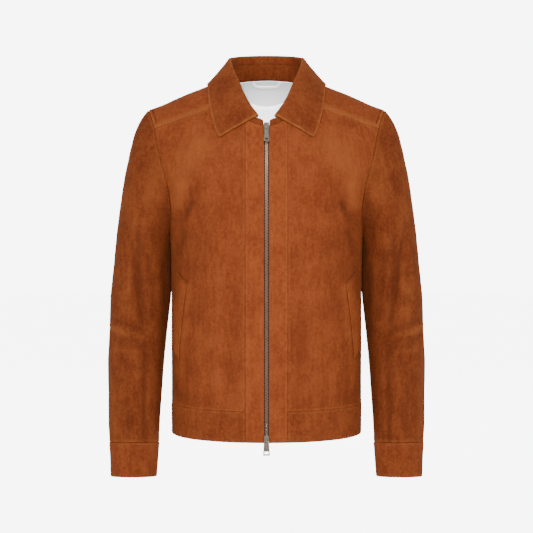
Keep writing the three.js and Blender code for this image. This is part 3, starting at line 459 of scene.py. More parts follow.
def armhole_ring():
    """The armhole seam: its points and their angles round the sleeve, true and evened out.

    The last of what it gives is the rows of the seam allowance, just in from the seam and further in.
    """
    count = ARMPIT_COLUMN - 1 - len(YOKE_HOLE_Z)
    rising = [mix(ARMPIT_Z, YOKE_END_Z, (k / count) ** HOLE_EASE) for k in range(count, 0, -1)]
    front_z = [*YOKE_HOLE_Z, *rising]
    ways = [k / ARMPIT_COLUMN * math.pi for k in range(1, ARMPIT_COLUMN)]
    back_z = [mix(ARMPIT_Z, TIP_Z, (1 - math.cos(way)) / 2) for way in ways]
    tip = body_at(-1, place_of(-1, TIP_X, TIP_Z)[0], 0.0)
    front_place = armhole_place(-1, np.array(front_z))
    front = body_at(-1, *front_place)
    armpit = body_at(-1, *level_place(-1, np.array(math.pi / 2), np.array(float(ARMPIT_Z))))
    back_place = armhole_place(1, np.minimum(back_z, SHOULDER_BACK_Z))
    back = body_at(1, *back_place)
    points = np.vstack([tip[None], front, armpit[None], back])
    middle = (SLEEVE["outZ"][0] + SLEEVE["inZ"][0]) / 2
    half = (SLEEVE["outZ"][0] - SLEEVE["inZ"][0]) / 2
    angle = np.arccos(np.clip((points[:, 2] - middle) / half, -1, 1))
    column = np.arange(ROOT_COLUMNS)
    true = np.where(column <= ARMPIT_COLUMN, angle, 2 * math.pi - angle)
    armpit_place = level_place(-1, np.array([math.pi / 2]), np.array([float(ARMPIT_Z)]))
    tip_turn = place_of(-1, np.array([TIP_X]), TIP_Z)[0]
    turn = np.concatenate([tip_turn, front_place[0], armpit_place[0], back_place[0]])
    down = np.concatenate([[0.0], front_place[1], armpit_place[1], back_place[1]])
    under = []
    for inset in SLEEVE_TUCKED:
        ahead, behind = body_frame(-1, turn - inset, down + 0.3), body_frame(1, turn - inset, down + 0.3)
        point, normal = (np.where((column <= ARMPIT_COLUMN)[:, None], a, b) for a, b in zip(ahead, behind))
        under.append(point - normal * SLEEVE_TUCKED_DEEP)
    return points, np.stack([true, column * math.pi / ARMPIT_COLUMN], -1), under


HOLE_POINTS, HOLE_ANGLES, UNDER_POINTS = armhole_ring()


def round_read(values, t, gain=0.0):
    """A smooth closed curve through rows of values at whole t. gain is what each round adds."""
    k = np.floor(t).astype(int)
    row = lambda i: values[i % len(values)] + gain * np.floor_divide(i, len(values))[..., None]
    before, a, b, after = row(k - 1), row(k), row(k + 1), row(k + 2)
    return hermite((t - k)[..., None], a, b, (b - before) / 2, (after - a) / 2)


def ring_point(ring, angle, tilt):
    """A point of a sleeve's section, angle from the outer edge by way of the front."""
    out = np.stack([ring["outX"], ring["y"], ring["outZ"]], -1)
    into = np.stack([ring["inX"], ring["inY"], ring["inZ"]], -1)
    middle = (out + into) / 2
    forward = ring["deep"] * np.sin(angle)
    tilted = np.stack([0 * forward, -forward, tilt * forward], -1)
    return middle + (out - middle) * np.cos(angle)[..., None] + tilted


def sleeve_surface(t, k):
    """The sleeve's outer face, t round it from its outer edge and k down it."""
    true, even = np.moveaxis(round_read(HOLE_ANGLES, t, 2 * math.pi), -1, 0)
    columns = [name for name in SLEEVE if name != "k"]
    ring = {name: read(SLEEVE, "k", name, k) for name in columns}
    first = {name: np.full_like(k, SLEEVE[name][0]) for name in columns}
    fade = 1 - smooth(k, 0, 5)
    angle = mix(even, true, fade)
    points = ring_point(ring, angle, FOREARM_TILT * smooth(k, 8, 14))
    points = points + (round_read(HOLE_POINTS, t) - ring_point(first, true, 0)) * fade[..., None]
    points[..., 0] += SLEEVE_GAP * fade
    middle = np.stack([(ring["out" + a] + ring["in" + a]) / 2 for a in "XZ"], -1)
    middle = np.insert(middle, 1, (ring["y"] + ring["inY"]) / 2, -1)
    around = np.degrees(np.mod(angle, 2 * math.pi))
    dent = troughs(SLEEVE_FOLDS, around, points[..., 2]) + troughs(SLEEVE_CREASES, around, points[..., 2])
    return points - unit(points - middle) * (dent * (1 - fade))[..., None]


def add_allowance(cloth, rows, before=False, across=False, reach=(4.0, 8.0)):
    """Adds rows of points beyond an edge of a cloth, nearest first: the seam allowance under its neighbour.

    The edge is the cloth's last row, or its first where before is true, and across means columns. reach is
    how far from the edge the rows lie in the flat.
    """
    turn = (lambda grid: np.swapaxes(grid, 0, 1)) if across else (lambda grid: grid)
    way = np.array([1.0, 0.0] if across else [0.0, 1.0]) * (-MM if before else MM)
    for name in ("points", "flat", "worn", "nap", "normals"):
        grid = turn(cloth[name])
        edge = grid[0] if before else grid[-1]
        more = [edge] * len(rows)
        if name == "points":
            more = rows
        elif name == "flat":
            more = [edge + way * far for far in reach]
        cloth[name] = turn(np.stack([*more[::-1], *grid] if before else [*grid, *more]))


def cuff_surface(t, k):
    """The cuff's face before its own thickness."""
    even = t * math.pi / ARMPIT_COLUMN
    ring = {name: mix(CUFF[name][0], CUFF[name][1], k) for name in CUFF if name != "k"}
    return ring_point(ring, even, FOREARM_TILT)


def signed_place(side, x, z):
    turn, down = place_of(side, x, z)
    return np.stack([turn * 100, down * side], -1)


def signed_frame(place):
    turn, down = place[..., 0] / 100, np.abs(place[..., 1])
    front, back = body_frame(-1, turn, down), body_frame(1, turn, down)
    ahead = (place[..., 1] < 0)[..., None]
    return np.where(ahead, front[0], back[0]), np.where(ahead, front[1], back[1])


def collar_curves():
    """Places of the neck seam, the fold and the leaf's edge, a row for each row of the table."""
    neck, fold, edge = [], [], []
    for row in zip(*(COLLAR[name] for name in ("neck", "foldX", "foldY", "foldZ", "edgeX", "edgeZ", "side"))):
        at, fold_x, fold_y, fold_z, edge_x, edge_z, side = row
        if at == NECK_HALF:
            neck.append(signed_place(-1, at, ridge_z(at)))
        elif at < 0:
            neck.append(signed_place(-1, -at, read(NECK_FRONT, "x", "z", -at)))
        else:
            neck.append(signed_place(1, at, neck_rim_z(at)))
        fold.append((fold_x, fold_y, fold_z))
        edge.append(signed_place(int(side), edge_x, edge_z))
    return np.array(neck), np.array(fold), np.array(edge)


NECK_CURVE, FOLD_CURVE, EDGE_CURVE = collar_curves()


def along_curve(rows, f):
    """A smooth open curve through rows, at shares f of its rows."""
    ghost = np.vstack([2 * rows[0] - rows[1], rows, 2 * rows[-1] - rows[-2]])
    k = np.clip(f * (len(rows) - 1), 0, len(rows) - 1)
    i = np.clip(np.floor(k).astype(int), 0, len(rows) - 2)
    before, a, b, after = ghost[i], ghost[i + 1], ghost[i + 2], ghost[i + 3]
    return hermite((k - i)[..., None], a, b, (b - before) / 2, (after - a) / 2)


LEAF_MIDDLE = LEAF_LIFT - LEAF_WALL / 2


def collar_section(f):
    """What a collar section is drawn from: the neck seam, the fold, the edge and the ways up and out."""
    neck_place, edge_place = along_curve(NECK_CURVE, f), along_curve(EDGE_CURVE, f)
    neck = signed_frame(neck_place)[0]
    fold = along_curve(FOLD_CURVE, f)
    edge, edge_normal = signed_frame(edge_place)
    up = unit(fold - neck)
    ahead, behind = np.minimum(f + 1e-3, 1), np.maximum(f - 1e-3, 0)
    tangent = along_curve(FOLD_CURVE, ahead) - along_curve(FOLD_CURVE, behind)
    out = unit(np.cross(tangent, up))
    out = out * np.where(np.sum(out * edge_normal, -1, keepdims=True) < 0, -1, 1)
    return neck_place, edge_place, neck, fold, edge + edge_normal * LEAF_MIDDLE, up, out


def leaf_surface(f, s):
    """The middle of the collar's leaf: s from its seam with the stand, over the fold, to its edge at 3."""
    neck_place, edge_place, neck, fold, end, up, out = collar_section(f)
    centre = fold - up * (FOLD_RADIUS + LEAF_WALL / 2)
    seam = mix(neck, fold, STAND_SHARE) - out * (FOLD_RADIUS * STAND_SHARE)
    inner = mix(seam, centre - out * FOLD_RADIUS, np.clip(s, 0, 1)[..., None])
    angle = (np.clip(s - 1, 0, 1) * math.pi)[..., None]
    bend = centre - out * FOLD_RADIUS * np.cos(angle) + up * FOLD_RADIUS * np.sin(angle)
    g = np.clip(s - 2, 0, 1)[..., None]
    leg = mix(centre + out * FOLD_RADIUS, end, g)
    below, normal = signed_frame(mix(neck_place, edge_place, mix(0.12, 1, g)))
    short = LEAF_MIDDLE - np.sum((leg - below) * normal, -1, keepdims=True)
    push = (short + np.sqrt(short * short + 0.2)) / 2 * np.minimum(g * 6, 1)
    s = s[..., None]
    return np.where(s <= 1, inner, np.where(s <= 2, bend, leg + normal * push))


STAND_STATIONS = 19
# The stand's sections beside the zip: how far from the mid-line and how high. Below them are the points that
# are tucked under the body's cloth: how far down and how far in.
STAND_ENDS = ((11.5, 11.0), (5.2, 8.5))
STAND_TUCKED = ((4.0, 3.2), (0.6, 2.6))
# In the other sections these points lie that share of the way from the neck seam to the leaf's edge.
STAND_TUCKED_SHARES = (0.07, 0.012)


def stand_rows():
    """The stand's sections from the middle of the back to the zip.

    Each has two points tucked under the body's cloth and three up the stand.
    """
    f = np.linspace(0, 1, STAND_STATIONS)
    neck_place, edge_place, neck, fold, _, up, out = collar_section(f)
    tucked = []
    for share, (_, into) in zip(STAND_TUCKED_SHARES, STAND_TUCKED):
        point, normal = signed_frame(mix(neck_place, edge_place, share))
        tucked.append(point - normal * into)
    top = mix(neck, fold, STAND_SHARE) - out * (FOLD_RADIUS * STAND_SHARE) - up * 0.45
    foot = neck + up * 1.3 - out * 0.6
    rows = [np.stack([*tucked, foot, mix(foot, top, 0.5), top], 1)]
    for x, high in STAND_ENDS:
        neck_z = read(NECK_FRONT, "x", "z", x)
        neck = body_at(-1, *place_of(-1, x, neck_z))
        way = np.array([0.3, 2, high])
        ups = [neck + way * share for share in (0.5 / high, 0.5, 1)]
        under = [body_at(-1, *place_of(-1, x, neck_z - low)) + (0, into, 0) for low, into in STAND_TUCKED]
        rows.append(np.stack([*under, *ups])[None])
    return np.concatenate(rows)


STAND_ROWS = stand_rows()


def stand_surface(f, s):
    """The middle of the stand's wall, f from the middle of the back to the zip and s from 0 to 1 up.

    At s from -2 to 0 it turns in under the body's cloth.
    """
    rows = along_curve(STAND_ROWS.reshape(len(STAND_ROWS), 15), f).reshape(f.shape + (5, 3))
    deep, under, low, middle, high = (rows[..., k, :] for k in range(5))
    s = s[..., None]
    up = np.where(s < 0.5, mix(low, middle, 2 * s), mix(middle, high, 2 * s - 1))
    return np.where(s >= 0, up, np.where(s >= -1, mix(low, under, -s), mix(under, deep, -1 - s)))


# Colours and sizes that a user may change
def linear(colour):
    """A hex sRGB colour as the linear numbers that Blender works with."""
    parts = [int(colour[i : i + 2], 16) / 255 for i in (1, 3, 5)]
    return [p / 12.92 if p <= 0.04045 else ((p + 0.055) / 1.055) ** 2.4 for p in parts]


def colour_setting(name, note, colour):
    kind = {"subtype": "COLOR", "size": 3, "min": 0, "max": 1}
    return bpy.props.FloatVectorProperty(name=name, description=note, default=linear(colour), **kind)


def length_setting(name, note, millimetres):
    kind = {"subtype": "DISTANCE", "unit": "LENGTH", "min": 0.1 * MM, "max": 100 * MM}
    return bpy.props.FloatProperty(name=name, description=note, default=millimetres * MM, **kind)


class JacketSettings(bpy.types.PropertyGroup):
    """Colours and sizes of the jacket's cloth, sewing and metal."""

    suede: colour_setting("Suede", "Colour of the napped suede", "#904122")
    suede_dark: colour_setting("Suede, nap down", "Colour where the nap lies away from the light", "#562613")
    suede_worn: colour_setting("Suede, worn", "Colour where seams and edges are rubbed", "#bc7038")
    lining: colour_setting("Lining", "Colour of the satin lining", "#f1f1f2")
    facing: colour_setting("Neck facing", "Colour of the facing inside the neck", "#c6c7cb")
    tape: colour_setting("Zip tape", "Colour of the woven zip tape", "#4a2a1c")
    metal: colour_setting("Metal", "Colour of the sliders' and pull tabs' plated metal", "#94897c")
    teeth: colour_setting("Teeth", "Colour of the zip's brushed teeth", "#d6ae94")
    thread: colour_setting("Thread", "Colour of the sewing thread", "#8c4a25")
    stitch_pitch: length_setting("Stitch pitch", "From one stitch to the next", 3.3)
    stitch_long: length_setting("Stitch length", "Length of thread that shows in a stitch", 2.5)
    stitch_thick: length_setting("Thread thickness", "Thickness of the sewing thread", 0.62)
    tooth_pitch: length_setting("Tooth pitch", "From one zip tooth to the next on the same side", 2.7)


# Materials
def add_node(tree, kind, values=(), **settings):
    """Adds a node. values sets or links its inputs, by name or by number."""
    node = tree.nodes.new(kind)
    for name, value in settings.items():
        setattr(node, name, value)
    for key, value in dict(values).items():
        if isinstance(value, bpy.types.NodeSocket):
            tree.links.new(value, node.inputs[key])
        else:
            node.inputs[key].default_value = value
    return node


def opaque(colour, share=1.0):
    return [*(c * share for c in colour), 1.0]


def empty_material(name):
    material = bpy.data.materials.new(name)
    material.use_nodes = True
    material.node_tree.nodes.clear()
    return material, material.node_tree


# What the suede's tone is mixed from: how wide each pattern is in millimetres, its scale, its detail, its
# roughness and its share. Streaks are five times as long as wide. Fibres are too fine to show, so they are
# drawn as tufts of a millimetre.
SUEDE_GRAIN = {
    "patches": (35, 28.0, 3.0, 0.55, 0.2),
    "streaks": (7, 145.0, 4.0, 0.62, 0.2),
    "clumps": (5, 190.0, 5.0, 0.72, 0.34),
    "fibres": (1, 1000.0, 3.0, 0.7, 0.26),
}
# Where a piece's suede is painted darker for the shade that it lies in, it is made redder too: the power by
# which green falls.
REDDER = 1.12
NAP_AND_SHADE_MOST = 0.85


def suede_material(name, base, dark, worn, lit_share):
    """Goat suede, split and sanded to a short nap, then brushed.

    The nap lies in patches and in streaks down the piece, which read lighter and darker, its fibres scatter
    light to the side, and seams and edges are rubbed paler. The nap attribute paints shade in creases and
    folds and where a piece lies in shade, and paints light on ridges and where a piece is lit.
    """
    material, tree = empty_material(name)
    place = add_node(tree, "ShaderNodeTexCoord").outputs["Object"]
    streaked = add_node(tree, "ShaderNodeMapping", {"Vector": place, "Scale": (1.0, 1.0, 0.2)}).outputs[0]
    grain = {}
    weighed = 0.0
    for kind, (_, scale, detail, roughness, share) in SUEDE_GRAIN.items():
        values = {"Scale": scale, "Detail": detail, "Roughness": roughness}
        values["Vector"] = streaked if kind == "streaks" else place
        grain[kind] = add_node(tree, "ShaderNodeTexNoise", values).outputs[0]
        values = {0: grain[kind], 1: share, 2: weighed}
        weighed = add_node(tree, "ShaderNodeMath", values, operation="MULTIPLY_ADD").outputs[0]
    values = {"Value": weighed, "From Min": 0.4, "From Max": 0.6, "To Min": 0.0, "To Max": 1.0}
    tone = add_node(tree, "ShaderNodeMapRange", values, interpolation_type="SMOOTHSTEP").outputs[0]
    # The piece's painted light or shade: lighter or darker, and redder where it is darker.
    base = base * np.array([lit_share, lit_share**REDDER, lit_share])
    values = {0: tone, 6: opaque(mix(base, dark, 0.38)), 7: opaque(mix(base, worn, 0.2), 1.05)}
    nap = add_node(tree, "ShaderNodeMix", values, data_type="RGBA").outputs[2]
    # The nap attribute: painted shade below 0, towards the dark colour, and painted light above 0, towards
    # the worn colour.
    brushed = add_node(tree, "ShaderNodeAttribute", attribute_name="nap").outputs["Fac"]
    for most, over in ((-1.0, dark), (1.0, mix(base, worn, 0.6))):
        values = {"Value": brushed, "From Max": most, "To Min": 0.0, "To Max": NAP_AND_SHADE_MOST}
        share = add_node(tree, "ShaderNodeMapRange", values).outputs[0]
        values = {0: share, 6: nap, 7: opaque(over)}
        nap = add_node(tree, "ShaderNodeMix", values, data_type="RGBA").outputs[2]
    rubbed = add_node(tree, "ShaderNodeAttribute", attribute_name="worn").outputs["Fac"]
    values = {"Value": grain["clumps"], "From Min": 0.35, "From Max": 0.65, "To Min": 0.35, "To Max": 1.0}
    broken = add_node(tree, "ShaderNodeMapRange", values).outputs[0]
    share = add_node(tree, "ShaderNodeMath", {0: rubbed, 1: broken}, operation="MULTIPLY").outputs[0]
    colour = add_node(tree, "ShaderNodeMix", {0: share, 6: nap, 7: opaque(worn)}, data_type="RGBA").outputs[2]
    values = {"Height": grain["clumps"], "Strength": 0.5, "Distance": 1.1 * MM}
    low = add_node(tree, "ShaderNodeBump", values).outputs[0]
    values = {"Height": grain["fibres"], "Strength": 0.45, "Distance": 0.3 * MM, "Normal": low}
    fine = add_node(tree, "ShaderNodeBump", values).outputs[0]
    values = {"Base Color": colour, "Roughness": 0.94, "Specular IOR Level": 0.12, "Normal": fine}
    values |= {"Sheen Weight": 0.32, "Sheen Roughness": 0.45, "Sheen Tint": opaque(worn)}
    skin = add_node(tree, "ShaderNodeBsdfPrincipled", values)
    add_node(tree, "ShaderNodeOutputMaterial", {"Surface": skin.outputs[0]})
    return material


def satin_material(name, base):
    """Filament polyester, woven as satin: smooth, with a soft shine along fine threads."""
    material, tree = empty_material(name)
    flat = add_node(tree, "ShaderNodeUVMap", uv_map="UVMap").outputs[0]
    # Threads of a quarter of a millimetre, and slow patches of 25 mm.
    values = {"Vector": flat, "Scale": 1250.0, "Distortion": 0.4}
    threads = add_node(tree, "ShaderNodeTexWave", values, bands_direction="X").outputs["Fac"]
    slow = add_node(tree, "ShaderNodeTexNoise", {"Vector": flat, "Scale": 40.0, "Detail": 2.0}).outputs[0]
    values = {0: slow, 6: opaque(base, 0.93), 7: opaque(base)}
    colour = add_node(tree, "ShaderNodeMix", values, data_type="RGBA").outputs[2]
    bump = add_node(tree, "ShaderNodeBump", {"Height": threads, "Strength": 0.12, "Distance": 0.1 * MM})
    values = {"Base Color": colour, "Roughness": 0.48, "Specular IOR Level": 0.4, "Sheen Weight": 0.15}
    cloth = add_node(tree, "ShaderNodeBsdfPrincipled", {**values, "Normal": bump.outputs[0]})
    add_node(tree, "ShaderNodeOutputMaterial", {"Surface": cloth.outputs[0]})
    return material


def tape_material(name, base):
    """Polyester tape, woven as a herringbone: matt, with ribs of a millimetre along it."""
    material, tree = empty_material(name)
    flat = add_node(tree, "ShaderNodeUVMap", uv_map="UVMap").outputs[0]
    values = {"Vector": flat, "Scale": 300.0, "Distortion": 0.3}
    ribs = add_node(tree, "ShaderNodeTexWave", values, bands_direction="DIAGONAL").outputs["Fac"]
    values = {0: ribs, 6: opaque(base, 0.7), 7: opaque(base, 1.3)}
    colour = add_node(tree, "ShaderNodeMix", values, data_type="RGBA").outputs[2]
    bump = add_node(tree, "ShaderNodeBump", {"Height": ribs, "Strength": 0.5, "Distance": 0.3 * MM})
    values = {"Base Color": colour, "Roughness": 0.85, "Normal": bump.outputs[0]}
    cloth = add_node(tree, "ShaderNodeBsdfPrincipled", values)
    add_node(tree, "ShaderNodeOutputMaterial", {"Surface": cloth.outputs[0]})
    return material


def thread_material(name, base):
    """Spun polyester thread, twisted from plies: matt, a little lighter where it is rubbed."""
    material, tree = empty_material(name)
    place = add_node(tree, "ShaderNodeTexCoord").outputs["Object"]
    plies = add_node(tree, "ShaderNodeTexNoise", {"Vector": place, "Scale": 900.0, "Detail": 2.0}).outputs[0]
    values = {0: plies, 6: opaque(base, 0.75), 7: opaque(base, 1.2)}
    colour = add_node(tree, "ShaderNodeMix", values, data_type="RGBA").outputs[2]
    bump = add_node(tree, "ShaderNodeBump", {"Height": plies, "Strength": 0.4, "Distance": 0.3 * MM})
    values = {"Base Color": colour, "Roughness": 0.75, "Normal": bump.outputs[0]}
    cloth = add_node(tree, "ShaderNodeBsdfPrincipled", values)
    add_node(tree, "ShaderNodeOutputMaterial", {"Surface": cloth.outputs[0]})
    return material


def plated_material(name, base):
    """Brass and zinc plated with antique nickel: a soft shine, tarnished darker in patches of 3 mm."""
    material, tree = empty_material(name)
    place = add_node(tree, "ShaderNodeTexCoord").outputs["Object"]
    values = {"Vector": place, "Scale": 380.0, "Detail": 4.0, "Roughness": 0.6}
    tarnish = add_node(tree, "ShaderNodeTexNoise", values).outputs[0]
    values = {0: tarnish, 6: opaque(base, 0.5), 7: opaque(base, 1.2)}
    colour = add_node(tree, "ShaderNodeMix", values, data_type="RGBA").outputs[2]
    values = {"Value": tarnish, "From Min": 0.3, "From Max": 0.7, "To Min": 0.42, "To Max": 0.25}
    rough = add_node(tree, "ShaderNodeMapRange", values).outputs[0]
    values = {"Base Color": colour, "Metallic": 1.0, "Roughness": rough}
    metal = add_node(tree, "ShaderNodeBsdfPrincipled", values)
    add_node(tree, "ShaderNodeOutputMaterial", {"Surface": metal.outputs[0]})
    return material


def paper_material(name):
    """Matt studio paper, with no grain that shows from here, lit until it is as good as white."""
    material, tree = empty_material(name)
    colour = opaque(linear("#fafafa"))
    seen = add_node(tree, "ShaderNodeLightPath").outputs["Is Camera Ray"]
    glow = add_node(tree, "ShaderNodeMath", {0: seen, 1: BACKDROP_GLOW}, operation="MULTIPLY").outputs[0]
    values = {"Base Color": colour, "Roughness": 0.9, "Emission Color": colour, "Emission Strength": glow}
    paper = add_node(tree, "ShaderNodeBsdfPrincipled", values)
    add_node(tree, "ShaderNodeOutputMaterial", {"Surface": paper.outputs[0]})
    return material


# How much lighter or darker than the setting each piece's suede is: painted shade on the sleeves, the cuffs
# and hem band and the collar, and painted light on the strips, for the light and shade that each piece lies
# in.
SUEDE_LIT_AND_SHADED = {
    "suede_panel": 0.95,
    "suede_sleeve": 0.61,
    "suede_strip": 1.07,
    "suede_band": 0.8,
    "suede_collar": 0.7,
}
# Which function makes each other material, and the setting that it takes its colour from.
FINISHES = {
    "satin_lining": (satin_material, "lining"),
    "satin_facing": (satin_material, "facing"),
    "woven_tape": (tape_material, "tape"),
    "sewing_thread": (thread_material, "thread"),
    "antique_nickel": (plated_material, "metal"),
    "brushed_teeth": (plated_material, "teeth"),
}


def material(name):
    """The material of that name, made the first time that it is asked for."""
    if name in bpy.data.materials:
        return bpy.data.materials[name]
    look = bpy.context.scene.jacket_settings
    if name == "studio_paper":
        return paper_material(name)
    if name in SUEDE_LIT_AND_SHADED:
        colours = (np.array(colour) for colour in (look.suede, look.suede_dark, look.suede_worn))
        return suede_material(name, *colours, SUEDE_LIT_AND_SHADED[name])
    make, setting = FINISHES[name]
    return make(name, list(getattr(look, setting)))


# Cloth
NEAR_EDGE = (0.0, 0.45, 1.0, 1.7, 2.6, 3.8, 5.4)


def steps(length, step, near=NEAR_EDGE):
    """Shares of a length, a step apart, and closer together towards both ends."""
    near = np.array(near)
    count = max(int(round((length - 2 * near[-1]) / step)), 1)
    inside = np.linspace(near[-1], length - near[-1], count + 1)
    return np.concatenate([near[:-1], inside, length - near[:-1][::-1]]) / length


def ring_steps(length, step):
    """Columns round a sleeve, from its seam under the arm and back to it."""
    return ARMPIT_COLUMN + steps(length, step, (0.0, 0.6, 1.4, 2.4)) * ROOT_COLUMNS


def drape(points):
    """The slow swell of soft cloth, in millimetres, the same on both sides of a seam."""
    x, y, z = np.abs(points[..., 0]), points[..., 1], points[..., 2]
    swell = 0.45 * np.sin(x / 13.1 + 0.021 * z + 0.9) * np.sin(z / 37.0 + y / 41.0 + 0.4)
    swell += 0.40 * np.sin(z / 19.3 - x / 29.0 + y / 23.0 + 1.7)
    swell += 0.22 * np.sin(x / 7.9 - z / 15.1 + 2.2) * np.sin(z / 11.7 + y / 17.3)
    touching = np.exp(-(((x - 180) / 12) ** 2)) * smooth(-z, 230, 290)
    return swell * (1 - 0.9 * touching)


def seam(away):
    """Height beside a seam whose edge turns in, at distances from it."""
    return -1.0 * np.exp(-((away / 1.0) ** 2)) + 0.16 * np.exp(-(((away - 3.0) / 1.8) ** 2))


def stitched(away, inset):
    """The line that a row of stitches pulls in."""
    return -0.24 * np.exp(-(((away - inset) / 0.9) ** 2))


def rolled(away, radius=1.1):
    """Height beside a folded edge."""
    inside = np.clip(radius - away, 0, radius)
    return np.sqrt(np.maximum(radius**2 - inside**2, 0)) - radius


def pucker(away, along, deep=0.16, reach=5.0):
    """Small waves that sewing draws up along an edge."""
    wave = np.sin(along / 1.55) * np.sin(along / 5.3 + 1.1) + 0.5 * np.sin(along / 2.7 + 0.6)
    return deep * wave * np.exp(-((away / reach) ** 2))


def cross_normals(points, ring=False):
    """Normals of a grid of points from its rows and columns."""
    if ring:
        points = np.concatenate([points[:, -2:-1], points, points[:, 1:2]], 1)
    across, down = np.gradient(points, axis=1), np.gradient(points, axis=0)
    normals = unit(np.cross(across, down))
    return normals[:, 1:-1] if ring else normals


def lay_cloth(points, lift=0.0, relief=None, edges=None, sags=1.0, ring=False, centre=(0, RIDGE_Y), rub=0.6):
    """Cloth on a grid of points: its raised surface, its normals, its flat lengths and where it is worn.

    edges names the kind of each edge, seam or rolled, or gives a pair of a kind and its rows of stitches.
    sags is how much of the drape it has, ring means that its first and last columns meet, centre is what it
    faces away from, and rub is how much its edges are worn.
    """
    normals = cross_normals(points, ring)
    outwards = points[..., :2] - np.array(centre)
    first, last = "left", "right"
    if np.sum(normals[..., :2] * outwards) < 0:
        points, normals = points[:, ::-1], -normals[:, ::-1]
        first, last = "right", "left"
    across = np.zeros(points.shape[:2])
    across[:, 1:] = np.cumsum(np.linalg.norm(np.diff(points, axis=1), axis=-1), 1)
    down = np.zeros(points.shape[:2])
    down[1:] = np.cumsum(np.linalg.norm(np.diff(points, axis=0), axis=-1), 0)
    away = {first: across, last: across[:, -1:] - across, "bottom": down, "top": down[-1:] - down}
    height = lift + sags * drape(points)
    worn = np.zeros(points.shape[:2])
    for name, kind in (edges or {}).items():
        kind, rows = kind if isinstance(kind, tuple) else (kind, ())
        along = down if name in ("left", "right") else across
        if kind == "seam":
            height = height + seam(away[name]) + pucker(away[name], along)
            worn = np.maximum(worn, rub * 0.4 * np.exp(-(((away[name] - 2.4) / 1.8) ** 2)))
        else:
            height = height + rolled(away[name]) + pucker(away[name], along, 0.1)
            worn = np.maximum(worn, rub * 0.8 * np.exp(-((away[name] / 1.6) ** 2)))
        for inset in rows:
            height = height + stitched(away[name], inset)
            worn = np.maximum(worn, rub * 0.2 * np.exp(-(((away[name] - inset) / 2.2) ** 2)))
    nap = np.zeros(points.shape[:2])
    if relief:
        change, nap = relief(points)
        height = height + change
    return {
        "points": points + normals * height[..., None],
        "normals": normals,
        "flat": np.stack([across, down], -1) * MM,
        "away": away,
        "worn": np.clip(worn, 0, 1),
        "nap": nap,
    }


def mirror_cloth(cloth):
    """The same cloth on the other side of the mid-line."""
    turned = {name: cloth[name][:, ::-1] for name in ("points", "normals", "flat", "worn", "nap")}
    for name in ("points", "normals"):
        turned[name] = turned[name] * np.array([-1.0, 1.0, 1.0])
    turned["away"] = {name: value[:, ::-1] for name, value in cloth["away"].items()}
    return turned


def both_sides(left):
    return ("left", left), ("right", mirror_cloth(left))


def mesh_from(name, bm):
    mesh = bpy.data.meshes.new(name)
    bm.to_mesh(mesh)
    bm.free()
    return mesh


def mesh_object(name, bm, look, smooth_faces=True):
    """An object at the origin made from a bmesh."""
    mesh = mesh_from(name, bm)
    if smooth_faces:
        mesh.shade_smooth()
    mesh.materials.append(material(look))
    obj = bpy.data.objects.new(name, mesh)
    bpy.context.scene.collection.objects.link(obj)
    return obj


def round_edges(obj, width, angle):
    """Rounds an object's edges that are sharper than an angle."""
    edge = obj.modifiers.new("Edge", "BEVEL")
    edge.width = width * MM
    edge.segments = 2
    edge.limit_method = "ANGLE"
    edge.angle_limit = math.radians(angle)


def sew_object(name, cloths, look, wall, offset=-1.0, join=False, bevel=0.0):
    """An object of cloth from grids, thickened to its wall. join makes one of points that meet."""
    bm = bmesh.new()
    flat_layer = bm.loops.layers.uv.new("UVMap")
    # The nap attribute carries painted light and shade as well as the nap.
    worn_layer, nap_and_shade_layer = (bm.verts.layers.float.new(layer) for layer in ("worn", "nap"))
    for cloth in cloths:
        points, flat, worn, nap = cloth["points"] * MM, cloth["flat"], cloth["worn"], cloth["nap"]
        rows, columns = points.shape[:2]
        made = bmesh.ops.create_grid(bm, x_segments=columns - 1, y_segments=rows - 1, size=0.5)["verts"]
        if len(made) != rows * columns:
            raise RuntimeError(f"{name}: the grid came out with {len(made)} points")
        place = {}
        for vert in made:
            i, j = round((vert.co.x + 0.5) * (columns - 1)), round((vert.co.y + 0.5) * (rows - 1))
            vert.co = points[j, i]
            vert[worn_layer], vert[nap_and_shade_layer] = worn[j, i], nap[j, i]
            place[vert] = (j, i)
        for face in {face for vert in made for face in vert.link_faces}:
            for loop in face.loops:
                loop[flat_layer].uv = flat[place[loop.vert]]
    if join:
        bmesh.ops.remove_doubles(bm, verts=bm.verts, dist=2e-6)
    obj = mesh_object(name, bm, look)
    thick = obj.modifiers.new("Wall", "SOLIDIFY")
    thick.thickness = wall * MM
    thick.offset = offset
    thick.use_even_offset = False
    if bevel:
        round_edges(obj, bevel, 50)
    return obj


# Sewing
def line_in(cloth, edge, inset, start=0.0, end=1.0):
    """Points and normals along a line that runs a set distance in from one edge of a cloth."""
    turn = (lambda grid: grid) if edge in ("left", "right") else (lambda grid: np.swapaxes(grid, 0, 1))
    points, normals, away = turn(cloth["points"]), turn(cloth["normals"]), turn(cloth["away"][edge])
    if away[0, 0] > away[0, -1]:
        points, normals, away = points[:, ::-1], normals[:, ::-1], away[:, ::-1]
    rows = range(int(round(start * (len(points) - 1))), int(round(end * (len(points) - 1))) + 1)
    at = lambda grid, j: [np.interp(inset, away[j], grid[j, :, c]) for c in range(3)]
    trace = lambda grid: np.array([at(grid, j) for j in rows])
    return trace(points), unit(trace(normals))


def spaced(points, normals, pitch, shift=0.5):
    """Points, ways along and normals at even steps of a line."""
    length = np.concatenate([[0], np.cumsum(np.linalg.norm(np.diff(points, axis=0), axis=1))])
    at = np.arange(pitch * shift, length[-1] - pitch * 0.3, pitch)
    pick = lambda rows, where: np.stack([np.interp(where, length, rows[:, c]) for c in range(3)], -1)
    along = pick(points, at + 0.3) - pick(points, at - 0.3)
    return pick(points, at), unit(along), unit(pick(normals, at))


